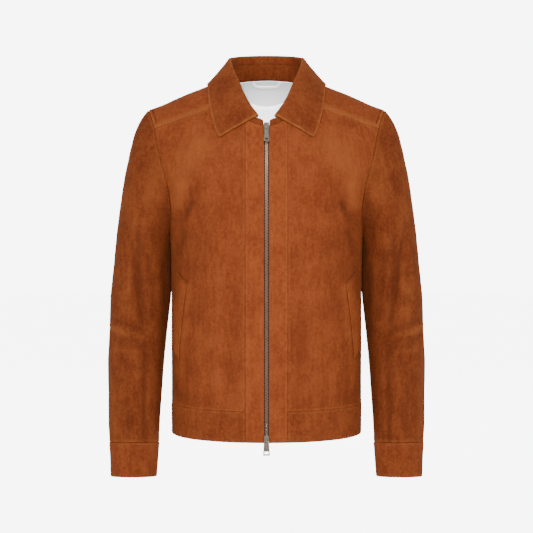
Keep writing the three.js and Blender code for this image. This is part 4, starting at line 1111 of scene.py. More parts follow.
def frame_matrix(point, along, normal):
    """A place whose X runs along a line and whose Z points out of the cloth."""
    side = np.cross(normal, along)
    side = side / np.linalg.norm(side)
    normal = np.cross(along, side)
    place = Matrix.Identity(4)
    for column, axis in enumerate((along, side, normal)):
        place.col[column][:3] = axis
    place.col[3][:3] = point * MM
    return place


def add_copy(bm, shape, place):
    """Adds a copy of a small mesh at a place."""
    before = len(bm.verts)
    bm.from_mesh(shape)
    bm.verts.ensure_lookup_table()
    bmesh.ops.transform(bm, matrix=place, verts=bm.verts[before:])


STITCH_OUT = 0.08


def stitch_object(name, lines):
    """Rows of stitches, each stitch an arched length of thread sunk at both ends."""
    look = bpy.context.scene.jacket_settings
    shape_bm = bmesh.new()
    bmesh.ops.create_icosphere(shape_bm, subdivisions=1, radius=0.5)
    size = Matrix.Diagonal((look.stitch_long, look.stitch_thick, look.stitch_thick, 1.0))
    bmesh.ops.transform(shape_bm, matrix=size, verts=shape_bm.verts)
    shape = mesh_from(f"{name}_one", shape_bm)
    bm = bmesh.new()
    for points, normals in lines:
        for point, along, normal in zip(*spaced(points, normals, look.stitch_pitch / MM)):
            add_copy(bm, shape, frame_matrix(point + normal * STITCH_OUT, along, normal))
    bpy.data.meshes.remove(shape)
    obj = mesh_object(name, bm, "sewing_thread")
    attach(obj, BODY_NAME)
    return obj


# The pieces' surfaces
def across_both(half):
    """A whole row of points from the half at positive x, which starts on the mid-line."""
    return np.concatenate([half[:, :0:-1] * np.array([-1.0, 1.0, 1.0]), half], 1)


def no_edge(length, step):
    """Even shares of a length, from end to end."""
    return np.linspace(0, 1, max(int(round(length / step)), 1) + 1)


def strip_surface(u, v):
    """The strip beside the zip."""
    x = mix(STRIP_EDGE_X, STRIP_SEAM_X, u)
    return body_frame(-1, *place_of(-1, x, mix(HEM_Z, read(NECK_FRONT, "x", "z", x), v)))[0]


def band_half(s, v):
    """Half of the hem band, s from the middle of the back to the side at 1 and the strip at 2."""
    z = mix(HEM_Z, HEM_SEAM_Z, v)
    back = body_frame(1, *level_place(1, np.clip(s, 0, 1) * math.pi / 2, z))[0]
    turn = mix(math.pi / 2, SEAM_TURN, np.clip(s - 1, 0, 1))
    front = body_frame(-1, *level_place(-1, turn, z))[0]
    return np.where((s <= 1)[..., None], back, front)


# The welt's folded edge from end to end, then how far round and up it runs from there.
WELT = {"top": (143.5, -377.0), "bottom": (159.5, -517.0), "width": 0.24, "rise": 27.0}


def welt_surface(u, v):
    """The pocket's welt, v up it and u from its folded edge."""
    x, z = (mix(low, high, v) for low, high in zip(WELT["bottom"], WELT["top"]))
    turn, down = place_of(-1, x, z)
    return body_frame(-1, turn + WELT["width"] * u, down - WELT["rise"] * u)[0]


FACING_EDGE = table("x z", (0, -49), (20, -46.5), (40, -38), (52, -29), (60, -21))


def facing_surface(x, v):
    """The facing at a distance x from the mid-line, v from its lower edge to the neck."""
    low = read(FACING_EDGE, "x", "z", x)
    return body_frame(1, *place_of(1, x, mix(low, neck_rim_z(x) - 1.2, v)))[0]


LINING_LOW_Z = -596.0
LINING_TURN = 1.38
LINING_SHOULDER_X = 200.0
FACING_HALF = 60.0


def lining_surface(u, v):
    """Half of the lining of the back, below the facing."""
    share = 0.5

    def top(at):
        near = mix(0.0, FACING_HALF, np.minimum(at / share, 1))
        far = mix(FACING_HALF, LINING_SHOULDER_X, np.clip((at - share) / (1 - share), 0, 1))
        low = place_of(1, near, read(FACING_EDGE, "x", "z", near) - 0.4)
        high = place_of(1, far, ridge_z(far) - 3)
        blend = smooth(at, share, share + 0.12)
        return mix(low[0], high[0], at > share), mix(low[1], high[1], blend)

    def right(at):
        z = mix(LINING_LOW_Z, float(ridge_z(LINING_SHOULDER_X)) - 3, at)
        edge = np.where(z < ARMPIT_Z, read(BODY, "z", "half", z), read(ARMHOLE, "z", "back", z))
        turn, down = place_of(1, np.minimum(edge - 3, LINING_SHOULDER_X), z)
        low = level_place(1, np.array(LINING_TURN), np.array(LINING_LOW_Z))
        near = 1 - smooth(at, 0, 0.1)
        return mix(turn, low[0], near), mix(down, low[1], near)

    left = lambda at: place_of(1, 0 * at, mix(LINING_LOW_Z, -49.4, at))
    bottom = lambda at: level_place(1, at * LINING_TURN, LINING_LOW_Z)
    return body_frame(1, *fill_in(u, v, bottom, top, left, right))[0]


LOOP_HALF = 2.2
LOOP_PATH = table("k x z", (0, 0, -12.6), (1, 12, -12.4), (2, 19, -11.6), (3, 23, -8.6), (4, 26.5, -4.4))


def loop_surface(k, side):
    """Half of the hanger loop, k along it and side across it in millimetres."""
    point = lambda at: np.stack([read(LOOP_PATH, "k", "x", at), read(LOOP_PATH, "k", "z", at)], -1)
    way = unit(point(np.minimum(k + 0.05, 4)) - point(np.maximum(k - 0.05, 0)))
    here = point(k)
    way = np.where((k < 0.05)[..., None], np.array([1.0, 0.0]), way)
    x, z = here[..., 0] + way[..., 1] * side, here[..., 1] - way[..., 0] * side
    return body_frame(1, *place_of(1, np.maximum(x, 0), z))[0]


# Creases of the other pieces, as the troughs above. A negative depth is a ridge.
FRONT_CREASES = (
    (137, -236, 147, -262, 6.5, 1.9),
    (129, -243, 140, -272, 5.0, -0.8),
    (151, -286, 158, -322, 6.0, 2.2),
    (144, -292, 150, -330, 6.0, -0.9),
    (118, -196, 142, -226, 8.0, 1.0),
    (162, -352, 166, -404, 7.0, 1.3),
    (58, -318, 64, -470, 15.0, 0.8),
    (66, -500, 60, -590, 11.0, 0.9),
    (88, -420, 84, -560, 12.0, -0.9),
    (104, -500, 101, -598, 8.0, 1.1),
    (116, -540, 117, -600, 5.0, -0.7),
    (131, -560, 133, -602, 5.0, 1.0),
    (50, -572, 51, -602, 4.0, 0.7),
    (76, -566, 75, -602, 4.5, 0.8),
    (91, -580, 92, -602, 3.5, -0.5),
    (146, -575, 148, -602, 4.0, 0.8),
    (162, -560, 164, -602, 5.0, 0.9),
    (60, -150, 96, -176, 14.0, 0.8),
)
BACK_CREASES = (
    (148, -232, 132, -300, 8.0, 1.9),
    (140, -240, 122, -292, 6.0, -0.8),
    (160, -292, 150, -352, 8.0, 1.8),
    (30, -130, 84, -150, 12.0, 1.0),
    (96, -180, 140, -196, 10.0, 1.1),
    (24, -300, 30, -420, 18.0, 0.9),
    (78, -380, 70, -520, 14.0, 1.1),
    (104, -430, 100, -560, 11.0, -0.9),
    (128, -500, 124, -598, 8.0, 1.1),
    (20, -540, 21, -602, 6.0, 0.9),
    (38, -560, 37, -602, 4.5, -0.6),
    (58, -552, 56, -602, 5.0, 0.9),
    (84, -570, 85, -602, 4.0, 0.7),
    (112, -566, 113, -602, 5.0, 0.9),
    (150, -560, 152, -602, 5.0, 0.8),
)


# Where the nap is brushed up, which is lighter, or down, below 0, and painted shade along creases, the sides
# and the inner sleeves and painted light on the chest and upper back: from one point to another, how wide and
# how much.
FRONT_NAP_AND_SHADE = (
    (118, -130, 150, -178, 24, 0.5),
    (152, -204, 159, -236, 12, 0.55),
    (62, -120, 84, -170, 24, 0.15),
    (133, -236, 141, -252, 9, -0.45),
    (143, -290, 150, -306, 8, -0.35),
    (96, -250, 110, -330, 30, -0.08),
    (60, -440, 66, -540, 30, -0.12),
    (136, -420, 148, -560, 22, -0.14),
    (128, -470, 120, -570, 12, 0.2),
    (90, -360, 84, -420, 22, 0.1),
    (168, -330, 170, -580, 12, -0.3),
    (100, -590, 150, -596, 20, -0.1),
    (139, -385, 145, -470, 7, 0.4),
    (150, -470, 156, -570, 5, 0.4),
    (112, -470, 96, -560, 15, 0.25),
    (164, -420, 163, -560, 5, 0.3),
)
BACK_NAP_AND_SHADE = (
    (60, -130, 150, -170, 40, 0.25),
    (20, -300, 40, -420, 44, -0.15),
    (110, -320, 130, -420, 36, 0.15),
    (80, -500, 130, -590, 44, -0.3),
    (165, -330, 168, -580, 14, -0.3),
)
SLEEVE_NAP_AND_SHADE = (
    (78, -120, 92, -220, 20, 0.25),
    (40, -160, 52, -300, 18, 0.12),
    (128, -230, 152, -330, 12, -0.4),
    (156, -330, 162, -640, 16, -0.6),
    (117, -510, 122, -664, 7, -0.3),
    (66, -306, 103, -446, 7, -0.25),
    (86, -290, 94, -404, 7, -0.1),
    (24, -462, 70, -472, 6, 0.35),
    (60, -400, 74, -430, 14, 0.2),
    (30, -540, 40, -640, 16, 0.12),
    (220, -330, 210, -640, 26, -0.5),
    (270, -160, 290, -420, 30, 0.15),
    (250, -520, 280, -640, 24, -0.2),
)
LEAF_NAP_AND_SHADE = (
    (78, -20, 86, -44, 12, -0.3),
    (60, -30, 66, -70, 10, 0.2),
    (96, -50, 92, -80, 10, 0.15),
    (52, -62, 70, -92, 8, -0.2),
    (70, 10, 84, -6, 10, 0.15),
)


def nap_and_crease_shade(depth, brushed):
    """Painted shade and light over creases and folds: lighter on ridges, darker in troughs, and as the nap is
    brushed.
    """
    return np.clip(np.clip(-0.13 * depth, -0.4, 0.25) + brushed, -1, 1)


def relief_of(creases, folds, brushed):
    """What creases and brushing give a piece of cloth, with painted shade in its creases and folds: a
    function of its points.
    """

    def relief(points):
        x, z = np.abs(points[..., 0]), points[..., 2]
        depth = troughs(creases, x, z)
        return -depth, nap_and_crease_shade(depth + 0.6 * troughs(folds, x, z), troughs(brushed, x, z))

    return relief


FRONT_RELIEF = relief_of(FRONT_CREASES, FRONT_FOLDS, FRONT_NAP_AND_SHADE)
BACK_RELIEF = relief_of(BACK_CREASES, BACK_FOLDS, BACK_NAP_AND_SHADE)


def declare(obj, nodes):
    """Hangs a piece of cloth on the jacket's body and hides the solids that it stands for."""
    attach(obj, BODY_NAME)
    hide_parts(*nodes)


# Rows of stitches, by how far they run from their edge in millimetres.
SEAM_ROW = 2.4
SECOND_ROW = 7.0
STRIP_ROW = 5.0
HEM_ROW = 4.0
COLLAR_ROW = 5.0
WELT_ROW = 3.0
ALL_SEAMS = dict.fromkeys(("left", "right", "bottom", "top"), "seam")
# How far the pieces that are cut double stand out.
DOUBLE_LIFT = 0.6


class JACKET_OT_fronts(bpy.types.Operator):
    """Builds the two front panels"""

    bl_idname = "jacket.fronts"
    bl_label = "Front panels"
    bl_options = {"REGISTER", "UNDO"}

    def execute(self, context):
        u, v = np.meshgrid(steps(195, 4.0), steps(520, 4.4))
        edges = dict(ALL_SEAMS, left=("seam", (SEAM_ROW,)))
        left = lay_cloth(front_surface(u, v)[0], relief=FRONT_RELIEF, edges=edges)
        for name, cloth in both_sides(left):
            obj = sew_object(f"front_{name}_suede", [cloth], "suede_panel", 1.6)
            declare(obj, [f"front_{name}"])
            stitch_object(f"front_{name}_stitches", [line_in(cloth, "left", SEAM_ROW)])
        return {"FINISHED"}


# How much of the way to the back's edge each of a shoulder piece's last rows is moved.
SHOULDER_PULLS = ((-1, 1.0), (-2, 0.7), (-3, 0.4), (-4, 0.15))


def join_shoulder(yoke, ends):
    """Moves a shoulder piece's last rows so that it ends on the nearest of some rows of points."""
    apart = [np.linalg.norm(yoke["points"][-1] - end, axis=-1).max() for end in ends]
    shift = ends[int(np.argmin(apart))] - yoke["points"][-1]
    for row, share in SHOULDER_PULLS:
        yoke["points"][row] += shift * share


class JACKET_OT_back(bpy.types.Operator):
    """Builds the back, which runs over the shoulders to a seam in front"""

    bl_idname = "jacket.back"
    bl_label = "Back"
    bl_options = {"REGISTER", "UNDO"}

    def execute(self, context):
        shoulder_long, back_high, yoke_high = 155, 520, 36
        shoulder = 1 - np.array([6.2, 5.0, 3.8, 2.6, 1.7, 1.0, 0.45, 0]) / shoulder_long
        shoulder = np.concatenate([steps(shoulder_long, 4.2, (0.0, 2.0))[:-2], shoulder])
        neck = no_edge(NECK_HALF, 4.2)[:-1] * BACK_NECK_SHARE
        half = np.concatenate([neck, BACK_NECK_SHARE + shoulder * (1 - BACK_NECK_SHARE)])
        last = 1 - np.array([4.0, 2.0, 0.0]) / back_high
        up = np.concatenate([steps(back_high, 4.6)[: -len(NEAR_EDGE)], last])
        u, v = np.meshgrid(np.concatenate([-half[:0:-1], half]) / 2 + 0.5, up)
        edges = {"left": "seam", "right": "seam", "bottom": "seam"}
        back = lay_cloth(back_surface(u, v)[0], relief=BACK_RELIEF, edges=edges)
        up = np.concatenate([NEAR_EDGE, np.linspace(NEAR_EDGE[-1], yoke_high, 9)[1:]]) / yoke_high
        u, v = np.meshgrid(shoulder, up)
        edges["bottom"] = ("seam", (SEAM_ROW, SECOND_ROW))
        left = lay_cloth(yoke_surface(u, v)[0], edges=edges, rub=1.3)
        # The yoke's suede is lighter in a band between its two rows of stitches.
        left["nap"] = 0.4 * np.exp(-(((left["away"]["bottom"] - 6) / 6) ** 2))
        yokes = [left, mirror_cloth(left)]
        ends = [back["points"][-1, -len(shoulder) :], back["points"][-1, : len(shoulder)]]
        for yoke in yokes:
            join_shoulder(yoke, [*ends, *(end[::-1] for end in ends)])
        obj = sew_object("back_suede", [back, *yokes], "suede_panel", 1.6, join=True)
        declare(obj, ["back"])
        rows = [line_in(yoke, "bottom", inset) for yoke in yokes for inset in (SEAM_ROW, SECOND_ROW)]
        stitch_object("back_yoke_stitches", rows)
        return {"FINISHED"}


# Seam allowances of the strips and the hem band: how far beyond the edge each row lies, and how deep.
STRIP_TUCKED = ((0.9, 1.9), (6.5, 2.0))
HEM_TUCKED = ((1.0, 2.3), (7.0, 2.6))


def strip_tucked(cloth, before):
    """Columns beyond a strip's outer edge, its first where before is true, which lie under the front."""
    way = 1 if before else -1
    points, normal = cloth["points"][:, ::way], cloth["normals"][:, ::way][:, 0]
    out = points[:, 0] - points[:, 5]
    out = unit(out - normal * np.sum(out * normal, axis=-1, keepdims=True))
    return [points[:, 0] + out * far - normal * deep for far, deep in STRIP_TUCKED]


class JACKET_OT_bands(bpy.types.Operator):
    """Builds the strips beside the zip and the band round the hem"""

    bl_idname = "jacket.bands"
    bl_label = "Strips and hem band"
    bl_options = {"REGISTER", "UNDO"}

    def execute(self, context):
        u, v = np.meshgrid(steps(33, 3.2), steps(555, 4.4))
        edges = {"left": ("rolled", (STRIP_ROW,)), "right": "seam", "bottom": "rolled", "top": "seam"}
        left = lay_cloth(strip_surface(u, v), lift=DOUBLE_LIFT, edges=edges, sags=0.6)
        for name, cloth in both_sides(left):
            sewn = dict(cloth)
            before = name == "right"
            add_allowance(sewn, strip_tucked(cloth, before), before, across=True, reach=(1.0, 6.6))
            obj = sew_object(f"front_strip_{name}_suede", [sewn], "suede_strip", 1.7)
            nodes = [f"front_strip_{name}"]
            declare(obj, nodes)
            stitch_object(f"front_strip_{name}_stitches", [line_in(cloth, "left", STRIP_ROW)])
        high = HEM_SEAM_Z - HEM_Z
        half = np.concatenate([no_edge(248, 4.4), 1 + steps(198, 4.4)[len(NEAR_EDGE) :]])
        s, v = np.meshgrid(half, steps(high, 4.0))
        edges = dict(ALL_SEAMS, bottom=("rolled", (HEM_ROW,)), top=("seam", (SEAM_ROW,)))
        band = lay_cloth(across_both(band_half(s, v)), lift=DOUBLE_LIFT, edges=edges, sags=0.8)
        # The band's columns run from its right to its left, so a new row of its points is turned round.
        above = lambda up: across_both(band_half(s[:1], np.full_like(s[:1], 1 + up / high)))[0, ::-1]
        sewn = dict(band)
        add_allowance(sewn, [above(up) - band["normals"][-1] * deep for up, deep in HEM_TUCKED])
        obj = sew_object("hem_band_suede", [sewn], "suede_band", 1.6)
        declare(obj, ["hem_band"])
        stitch_object("hem_band_stitches", [line_in(band, "bottom", HEM_ROW), line_in(band, "top", SEAM_ROW)])
        return {"FINISHED"}


class JACKET_OT_sleeves(bpy.types.Operator):
    """Builds the two sleeves"""

    bl_idname = "jacket.sleeves"
    bl_label = "Sleeves"
    bl_options = {"REGISTER", "UNDO"}

    def execute(self, context):
        near = [0, 0.04, 0.09, 0.16, 0.25, 0.36, 0.5, 0.66, 0.84]
        far = [15 - 0.075, 15 - 0.045, 15 - 0.02, 15]
        t, k = np.meshgrid(ring_steps(400, 3.4), np.concatenate([near, np.linspace(1, 14.8, 138), far]))
        points = sleeve_surface(t, k)
        around, z = np.mod(t * 360 / ROOT_COLUMNS, 360), points[..., 2]
        left = lay_cloth(points, edges=ALL_SEAMS, ring=True, centre=(236.0, -10.0))
        # Painted shade in the sleeve's folds and creases and painted light on its ridges, with the listed nap
        # and shade.
        depth = troughs(SLEEVE_FOLDS, around, z) * 0.25 + troughs(SLEEVE_CREASES, around, z) * 1.5
        left["nap"] = nap_and_crease_shade(depth, troughs(SLEEVE_NAP_AND_SHADE, around, z))
        add_allowance(left, [round_read(under, t[0]) for under in UNDER_POINTS], before=True)
        for name, cloth in both_sides(left):
            obj = sew_object(f"sleeve_{name}_suede", [cloth], "suede_sleeve", 1.6, join=True)
            declare(obj, [f"sleeve_{name}"])
        return {"FINISHED"}


class JACKET_OT_cuffs(bpy.types.Operator):
    """Builds the two cuffs"""

    bl_idname = "jacket.cuffs"
    bl_label = "Cuffs"
    bl_options = {"REGISTER", "UNDO"}

    def execute(self, context):
        t, k = np.meshgrid(ring_steps(262, 3.2), steps(62, 3.6))
        edges = dict(ALL_SEAMS, bottom=("seam", (SEAM_ROW, SECOND_ROW)), top=("rolled", (HEM_ROW,)))
        points = cuff_surface(t, k)
        left = lay_cloth(points, lift=DOUBLE_LIFT, edges=edges, sags=0.8, ring=True, centre=(243.0, -40.0))
        rows = (("bottom", SEAM_ROW), ("bottom", SECOND_ROW), ("top", HEM_ROW))
        for name, cloth in both_sides(left):
            obj = sew_object(f"cuff_{name}_suede", [cloth], "suede_band", 2.4, join=True)
            declare(obj, [f"cuff_{name}"])
            stitch_object(f"cuff_{name}_stitches", [line_in(cloth, edge, inset) for edge, inset in rows])
        return {"FINISHED"}


class JACKET_OT_collar(bpy.types.Operator):
    """Builds the collar's leaf and stand"""

    bl_idname = "jacket.collar"
    bl_label = "Collar"
    bl_options = {"REGISTER", "UNDO"}

    def execute(self, context):
        half_long = 230
        along = no_edge(half_long, 4.2)
        f = np.concatenate([along[:-2], 1 - np.array([4.2, 2.1, 0.0]) / half_long])
        s = np.concatenate([np.linspace(0, 1, 5), np.linspace(1, 2, 10)[1:], np.linspace(2, 3, 26)[1:]])
        f, s = np.meshgrid(f, s)
        leaf = lay_cloth(across_both(leaf_surface(f, s)), sags=0.5)
        away = leaf["away"]
        edge_away = np.minimum(away["top"], np.minimum(away["left"], away["right"]))
        outer = s[:, :1] > 2
        x, z = np.abs(leaf["points"][..., 0]), leaf["points"][..., 2]
        fold_worn = 0.45 * np.exp(-(((s[:, :1] - 1.5) / 0.4) ** 2))
        leaf["worn"] = 0.7 * np.exp(-((edge_away / 3.0) ** 2)) + fold_worn
        # Painted shade along the groove of the edge's stitching, then the leaf's listed nap and shade.
        leaf["nap"] = -0.35 * np.exp(-(((edge_away - 4.2) / 1.3) ** 2)) * outer
        leaf["nap"] = leaf["nap"] + nap_and_crease_shade(0, troughs(LEAF_NAP_AND_SHADE, x, z) * outer)
        sunk = (stitched(edge_away, COLLAR_ROW) + pucker(edge_away, away["left"], 0.1)) * outer
        leaf["points"] = leaf["points"] + leaf["normals"] * sunk[..., None]
        obj = sew_object("collar_leaf_suede", [leaf], "suede_collar", LEAF_WALL, offset=0.0, bevel=0.8)
        declare(obj, ["collar_leaf"])
        face = dict(leaf, points=leaf["points"] + leaf["normals"] * LEAF_WALL / 2)
        rows = [line_in(face, "top", COLLAR_ROW, 0.02, 0.98)]
        rows += [line_in(face, edge, COLLAR_ROW, 0.45, 0.97) for edge in ("left", "right")]
        stitch_object("collar_leaf_stitches", rows)
        up = np.concatenate([[-2, -1, -0.5], np.linspace(0, 1, 9)])
        f, s = np.meshgrid(np.concatenate([along[:-1], [0.993, 1.0]]), up)
        stand = lay_cloth(across_both(stand_surface(f, s)), sags=0.15)
        obj = sew_object("collar_stand_suede", [stand], "suede_collar", 2.2, offset=0.0, bevel=0.7)
        declare(obj, ["collar_stand"])
        return {"FINISHED"}


class JACKET_OT_pockets(bpy.types.Operator):
    """Builds the two pocket welts"""

    bl_idname = "jacket.pockets"
    bl_label = "Pocket welts"
    bl_options = {"REGISTER", "UNDO"}

    def execute(self, context):
        u, v = np.meshgrid(steps(40, 2.6), steps(142, 3.6))
        sewn = ("rolled", (WELT_ROW,))
        edges = {"left": "rolled", "right": "rolled", "bottom": sewn, "top": sewn}
        left = lay_cloth(welt_surface(u, v), lift=2.3, edges=edges, sags=0.8, relief=FRONT_RELIEF, rub=0.25)
        # The folded edge has painted highlight, most of all low down, and the top end has painted shade.
        pale = np.exp(-(((u - 0.25) / 0.2) ** 2)) * (0.25 + 0.35 * (1 - smooth(v, 0.1, 0.45)))
        shade = 0.7 * np.exp(-(((v - 1) / 0.025) ** 2)) * (1 - smooth(u, 0.6, 0.9))
        left["nap"] = left["nap"] + pale - shade
        for name, cloth in both_sides(left):
            obj = sew_object(f"pocket_welt_{name}_suede", [cloth], "suede_panel", 1.6)
            nodes = [f"pocket_welt_{name}"]
            declare(obj, nodes)
            rows = [line_in(cloth, edge, WELT_ROW, 0.04, 0.96) for edge in ("top", "bottom")]
            stitch_object(f"pocket_welt_{name}_stitches", rows)
        return {"FINISHED"}


# How far under the suede's outer face the satin lies.
SATIN_LIFT = -4.4


class JACKET_OT_inside(bpy.types.Operator):
    """Builds the facing, the lining and the hanger loop that show inside the neck"""

    bl_idname = "jacket.inside"
    bl_label = "Facing, lining and loop"
    bl_options = {"REGISTER", "UNDO"}

    def execute(self, context):
        x, v = np.meshgrid(no_edge(FACING_HALF, 4) * FACING_HALF, steps(48, 3.4, (0.0, 1.0, 2.2)))
        facing = lay_cloth(across_both(facing_surface(x, v)), lift=SATIN_LIFT, sags=0.4)
        obj = sew_object("back_neck_facing_satin", [facing], "satin_facing", 0.8)
        declare(obj, ["back_neck_facing"])
        u, v = np.meshgrid(no_edge(220, 7), no_edge(545, 8))
        lining = lay_cloth(across_both(lining_surface(u, v)), lift=SATIN_LIFT, sags=0.4)
        obj = sew_object("back_lining_satin", [lining], "satin_lining", 0.8)
        declare(obj, ["back_lining"])
        k, side = np.meshgrid(np.linspace(0, 4, 17), np.linspace(-LOOP_HALF, LOOP_HALF, 7))
        loop = lay_cloth(across_both(loop_surface(k, side)), lift=SATIN_LIFT - 1.9, sags=0.0)
        obj = sew_object("hanger_loop_satin", [loop], "satin_lining", 0.7)
        declare(obj, ["hanger_loop"])
        return {"FINISHED"}


# The zip, in millimetres. Its teeth are as long as the first size along it, as wide as the second across it.
CHAIN_OUT = -1.3
CHAIN_WALL = 2.4
CHAIN_TOP_Z = -106.5
CHAIN_BOTTOM_Z = -646.5
TAPE_TOP_Z = -99
TOOTH_SIZE = (1.15, 3.0, CHAIN_WALL)
TOOTH_ASIDE = 1.35


def tooth_shape():
    """A tooth with broken edges, in metres."""
    bm = bmesh.new()
    bmesh.ops.create_cube(bm, size=1.0)
    bmesh.ops.transform(bm, matrix=Matrix.Diagonal((*TOOTH_SIZE, 1.0)), verts=bm.verts)
    bmesh.ops.bevel(bm, geom=bm.edges[:], offset=0.3, segments=1, profile=0.5, affect="EDGES", material=-1)
    bmesh.ops.scale(bm, vec=Vector((MM, MM, MM)), verts=bm.verts)
    return mesh_from("tooth_one", bm)


class JACKET_OT_zip(bpy.types.Operator):
    """Builds the zip's tapes and its teeth"""

    bl_idname = "jacket.zip"
    bl_label = "Zip tapes and teeth"
    bl_options = {"REGISTER", "UNDO"}

    def execute(self, context):
        x, z = np.meshgrid(np.linspace(0.08, 15, 10), np.linspace(HEM_Z + 2, TAPE_TOP_Z, 130))
        left = lay_cloth(body_frame(-1, *place_of(-1, x, z))[0], lift=-2.2, sags=0.0)
        for name, cloth in both_sides(left):
            obj = sew_object(f"zip_tape_{name}_woven", [cloth], "woven_tape", 0.6)
            nodes = [f"zip_tape_{name}"]
            declare(obj, nodes)
        z = np.linspace(CHAIN_BOTTOM_Z, CHAIN_TOP_Z, 400)
        line = body_frame(-1, *place_of(-1, np.zeros_like(z), z))
        pitch = context.scene.jacket_settings.tooth_pitch / MM
        shape = tooth_shape()
        bm = bmesh.new()
        for side, shift in ((1, 0.5), (-1, 1.0)):
            for point, along, normal in zip(*spaced(*line, pitch, shift)):
                middle = point + normal * (CHAIN_OUT - CHAIN_WALL / 2) + np.array([side * TOOTH_ASIDE, 0, 0])
                add_copy(bm, shape, frame_matrix(middle, along, normal))
        bpy.data.meshes.remove(shape)
        teeth = mesh_object("zip_teeth_metal", bm, "brushed_teeth", smooth_faces=False)
        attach(teeth, BODY_NAME)
        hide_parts("zip_chain")
        return {"FINISHED"}


class JACKET_OT_metal(bpy.types.Operator):
    """Finishes the zip's sliders and pull tabs with rounded edges"""

    bl_idname = "jacket.metal"
    bl_label = "Sliders and pull tabs"
    bl_options = {"REGISTER", "UNDO"}

    def execute(self, context):
        for name, body in (
            ("zip_slider_top", BODY_NAME),
            ("zip_slider_bottom", BODY_NAME),
            ("zip_pull_top", "pull_top"),
            ("zip_pull_bottom", "pull_bottom"),
        ):
            source = frame["nodes"][name]
            bm = bmesh.new()
            bm.from_mesh(source.data)
            bmesh.ops.transform(bm, matrix=source.matrix_world, verts=bm.verts)
            bmesh.ops.remove_doubles(bm, verts=bm.verts, dist=0.005 * MM)
            bmesh.ops.dissolve_limit(bm, angle_limit=math.radians(1.5), verts=bm.verts, edges=bm.edges)
            obj = mesh_object(f"{name}_metal", bm, "antique_nickel", smooth_faces=False)
            round_edges(obj, 0.22, 35)
            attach(obj, body)
            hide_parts(name)
        return {"FINISHED"}


# The stage, in metres: each lamp has a name, a place, a width and a power in watts.
LAMPS = (
    ("key_light", (0.0, -3.2, 1.1), 2.2, 72.0),
    ("back_light", (0.0, 3.2, 1.2), 2.2, 55.0),
    ("left_light", (-3.0, -2.2, 0.6), 1.6, 7.0),
    ("right_light", (3.0, -2.2, 0.6), 1.6, 7.0),
)
LAMPS_AIM = (0.0, 0.0, -0.35)
NECK_LAMP_PLACE = (0.0, -2.2, 0.25)
NECK_LAMP_AIM = (0.0, 0.02, -0.06)
FLOOR_Z = -1.05
# What the camera sees of the paper and the air, and the air's light on the jacket.
BACKDROP_GLOW = 6.8
AIR_LIGHT = 0.6
CAMERA_PLACE = (0.0, -2.5964, -0.2163)
CAMERA_TILT = 87
CAMERA_LENS = 94.93
CAMERA_SENSOR = 36.0


def hang_lamp(data, place, aim):
    """A lamp at a place, turned to its aim."""
    lamp = bpy.data.objects.new(data.name, data)
    lamp.location = place
    lamp.rotation_euler = (Vector(aim) - Vector(place)).to_track_quat("-Z", "Y").to_euler()
    bpy.context.scene.collection.objects.link(lamp)
    return lamp


def neck_lamp():
    """A small lamp above the neck, kept to the pale cloth inside it."""
    data = bpy.data.lights.new("neck_light", "SPOT")
    data.energy = 900.0
    data.spot_size = math.radians(20)
    data.spot_blend = 0.6
    data.shadow_soft_size = 0.35
    pale = bpy.data.collections.new("neck_light_falls_on")
    for name in ("back_neck_facing_satin", "back_lining_satin", "hanger_loop_satin"):
        pale.objects.link(bpy.data.objects[name])
    hang_lamp(data, NECK_LAMP_PLACE, NECK_LAMP_AIM).light_linking.receiver_collection = pale


def studio_air():
    """The air round the jacket, bright to the camera and soft on the cloth."""
    world = bpy.data.worlds.new("studio_air")
    world.use_nodes = True
    tree = world.node_tree
    seen = add_node(tree, "ShaderNodeLightPath").outputs["Is Camera Ray"]
    values = {0: seen, 1: BACKDROP_GLOW, 2: AIR_LIGHT}
    strength = add_node(tree, "ShaderNodeMath", values, operation="MULTIPLY_ADD").outputs[0]
    tree.nodes["Background"].inputs["Color"].default_value = (1.0, 1.0, 1.0, 1.0)
    tree.links.new(strength, tree.nodes["Background"].inputs["Strength"])
    return world


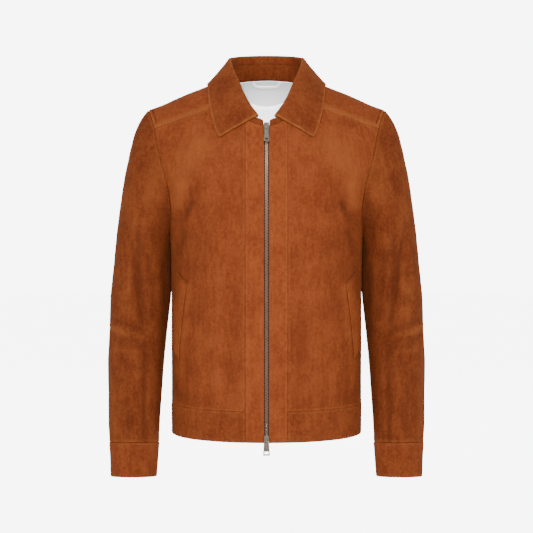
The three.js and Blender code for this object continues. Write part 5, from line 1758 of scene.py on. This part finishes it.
class JACKET_OT_stage(bpy.types.Operator):
    """Builds the floor, the lights and the camera"""

    bl_idname = "jacket.stage"
    bl_label = "Stage"
    bl_options = {"REGISTER", "UNDO"}

    def execute(self, context):
        scene = context.scene
        bm = bmesh.new()
        bmesh.ops.create_grid(bm, x_segments=4, y_segments=4, size=9.0)
        bmesh.ops.translate(bm, vec=Vector((0, 0, FLOOR_Z)), verts=bm.verts)
        lights = [mesh_object("studio_floor", bm, "studio_paper")]
        for name, place, size, power in LAMPS:
            data = bpy.data.lights.new(name, "AREA")
            data.shape = "DISK"
            data.size = size
            data.energy = power
            lights.append(hang_lamp(data, place, LAMPS_AIM))
        neck_lamp()
        scene.world = studio_air()
        data = bpy.data.cameras.new("camera")
        data.sensor_width = CAMERA_SENSOR
        data.lens = CAMERA_LENS
        camera = bpy.data.objects.new("camera", data)
        camera.location = CAMERA_PLACE
        camera.rotation_euler = (math.radians(CAMERA_TILT), 0.0, 0.0)
        scene.collection.objects.link(camera)
        scene.camera = camera
        return {"FINISHED"}


class JACKET_PT_panel(bpy.types.Panel):
    """The jacket's colours, sizes and pieces"""

    bl_label = "Jacket"
    bl_idname = "JACKET_PT_panel"
    bl_space_type = "VIEW_3D"
    bl_region_type = "UI"
    bl_category = "Jacket"

    def draw(self, context):
        for name in JacketSettings.__annotations__:
            self.layout.prop(context.scene.jacket_settings, name)
        for operator in OPERATORS:
            self.layout.operator(operator.bl_idname)


OPERATORS = (
    JACKET_OT_fronts,
    JACKET_OT_back,
    JACKET_OT_bands,
    JACKET_OT_sleeves,
    JACKET_OT_cuffs,
    JACKET_OT_collar,
    JACKET_OT_pockets,
    JACKET_OT_inside,
    JACKET_OT_zip,
    JACKET_OT_metal,
    JACKET_OT_stage,
)


def register():
    for item in (JacketSettings, *OPERATORS, JACKET_PT_panel):
        bpy.utils.register_class(item)
    bpy.types.Scene.jacket_settings = bpy.props.PointerProperty(type=JacketSettings)


def unregister():
    del bpy.types.Scene.jacket_settings
    for item in reversed((JacketSettings, *OPERATORS, JACKET_PT_panel)):
        bpy.utils.unregister_class(item)


def main():
    register()
    for operator in OPERATORS:
        group, name = operator.bl_idname.split(".")
        if getattr(getattr(bpy.ops, group), name)() != {"FINISHED"}:
            raise RuntimeError(f"{operator.bl_label} wasn't built")


if __name__ == "__main__":
    main()
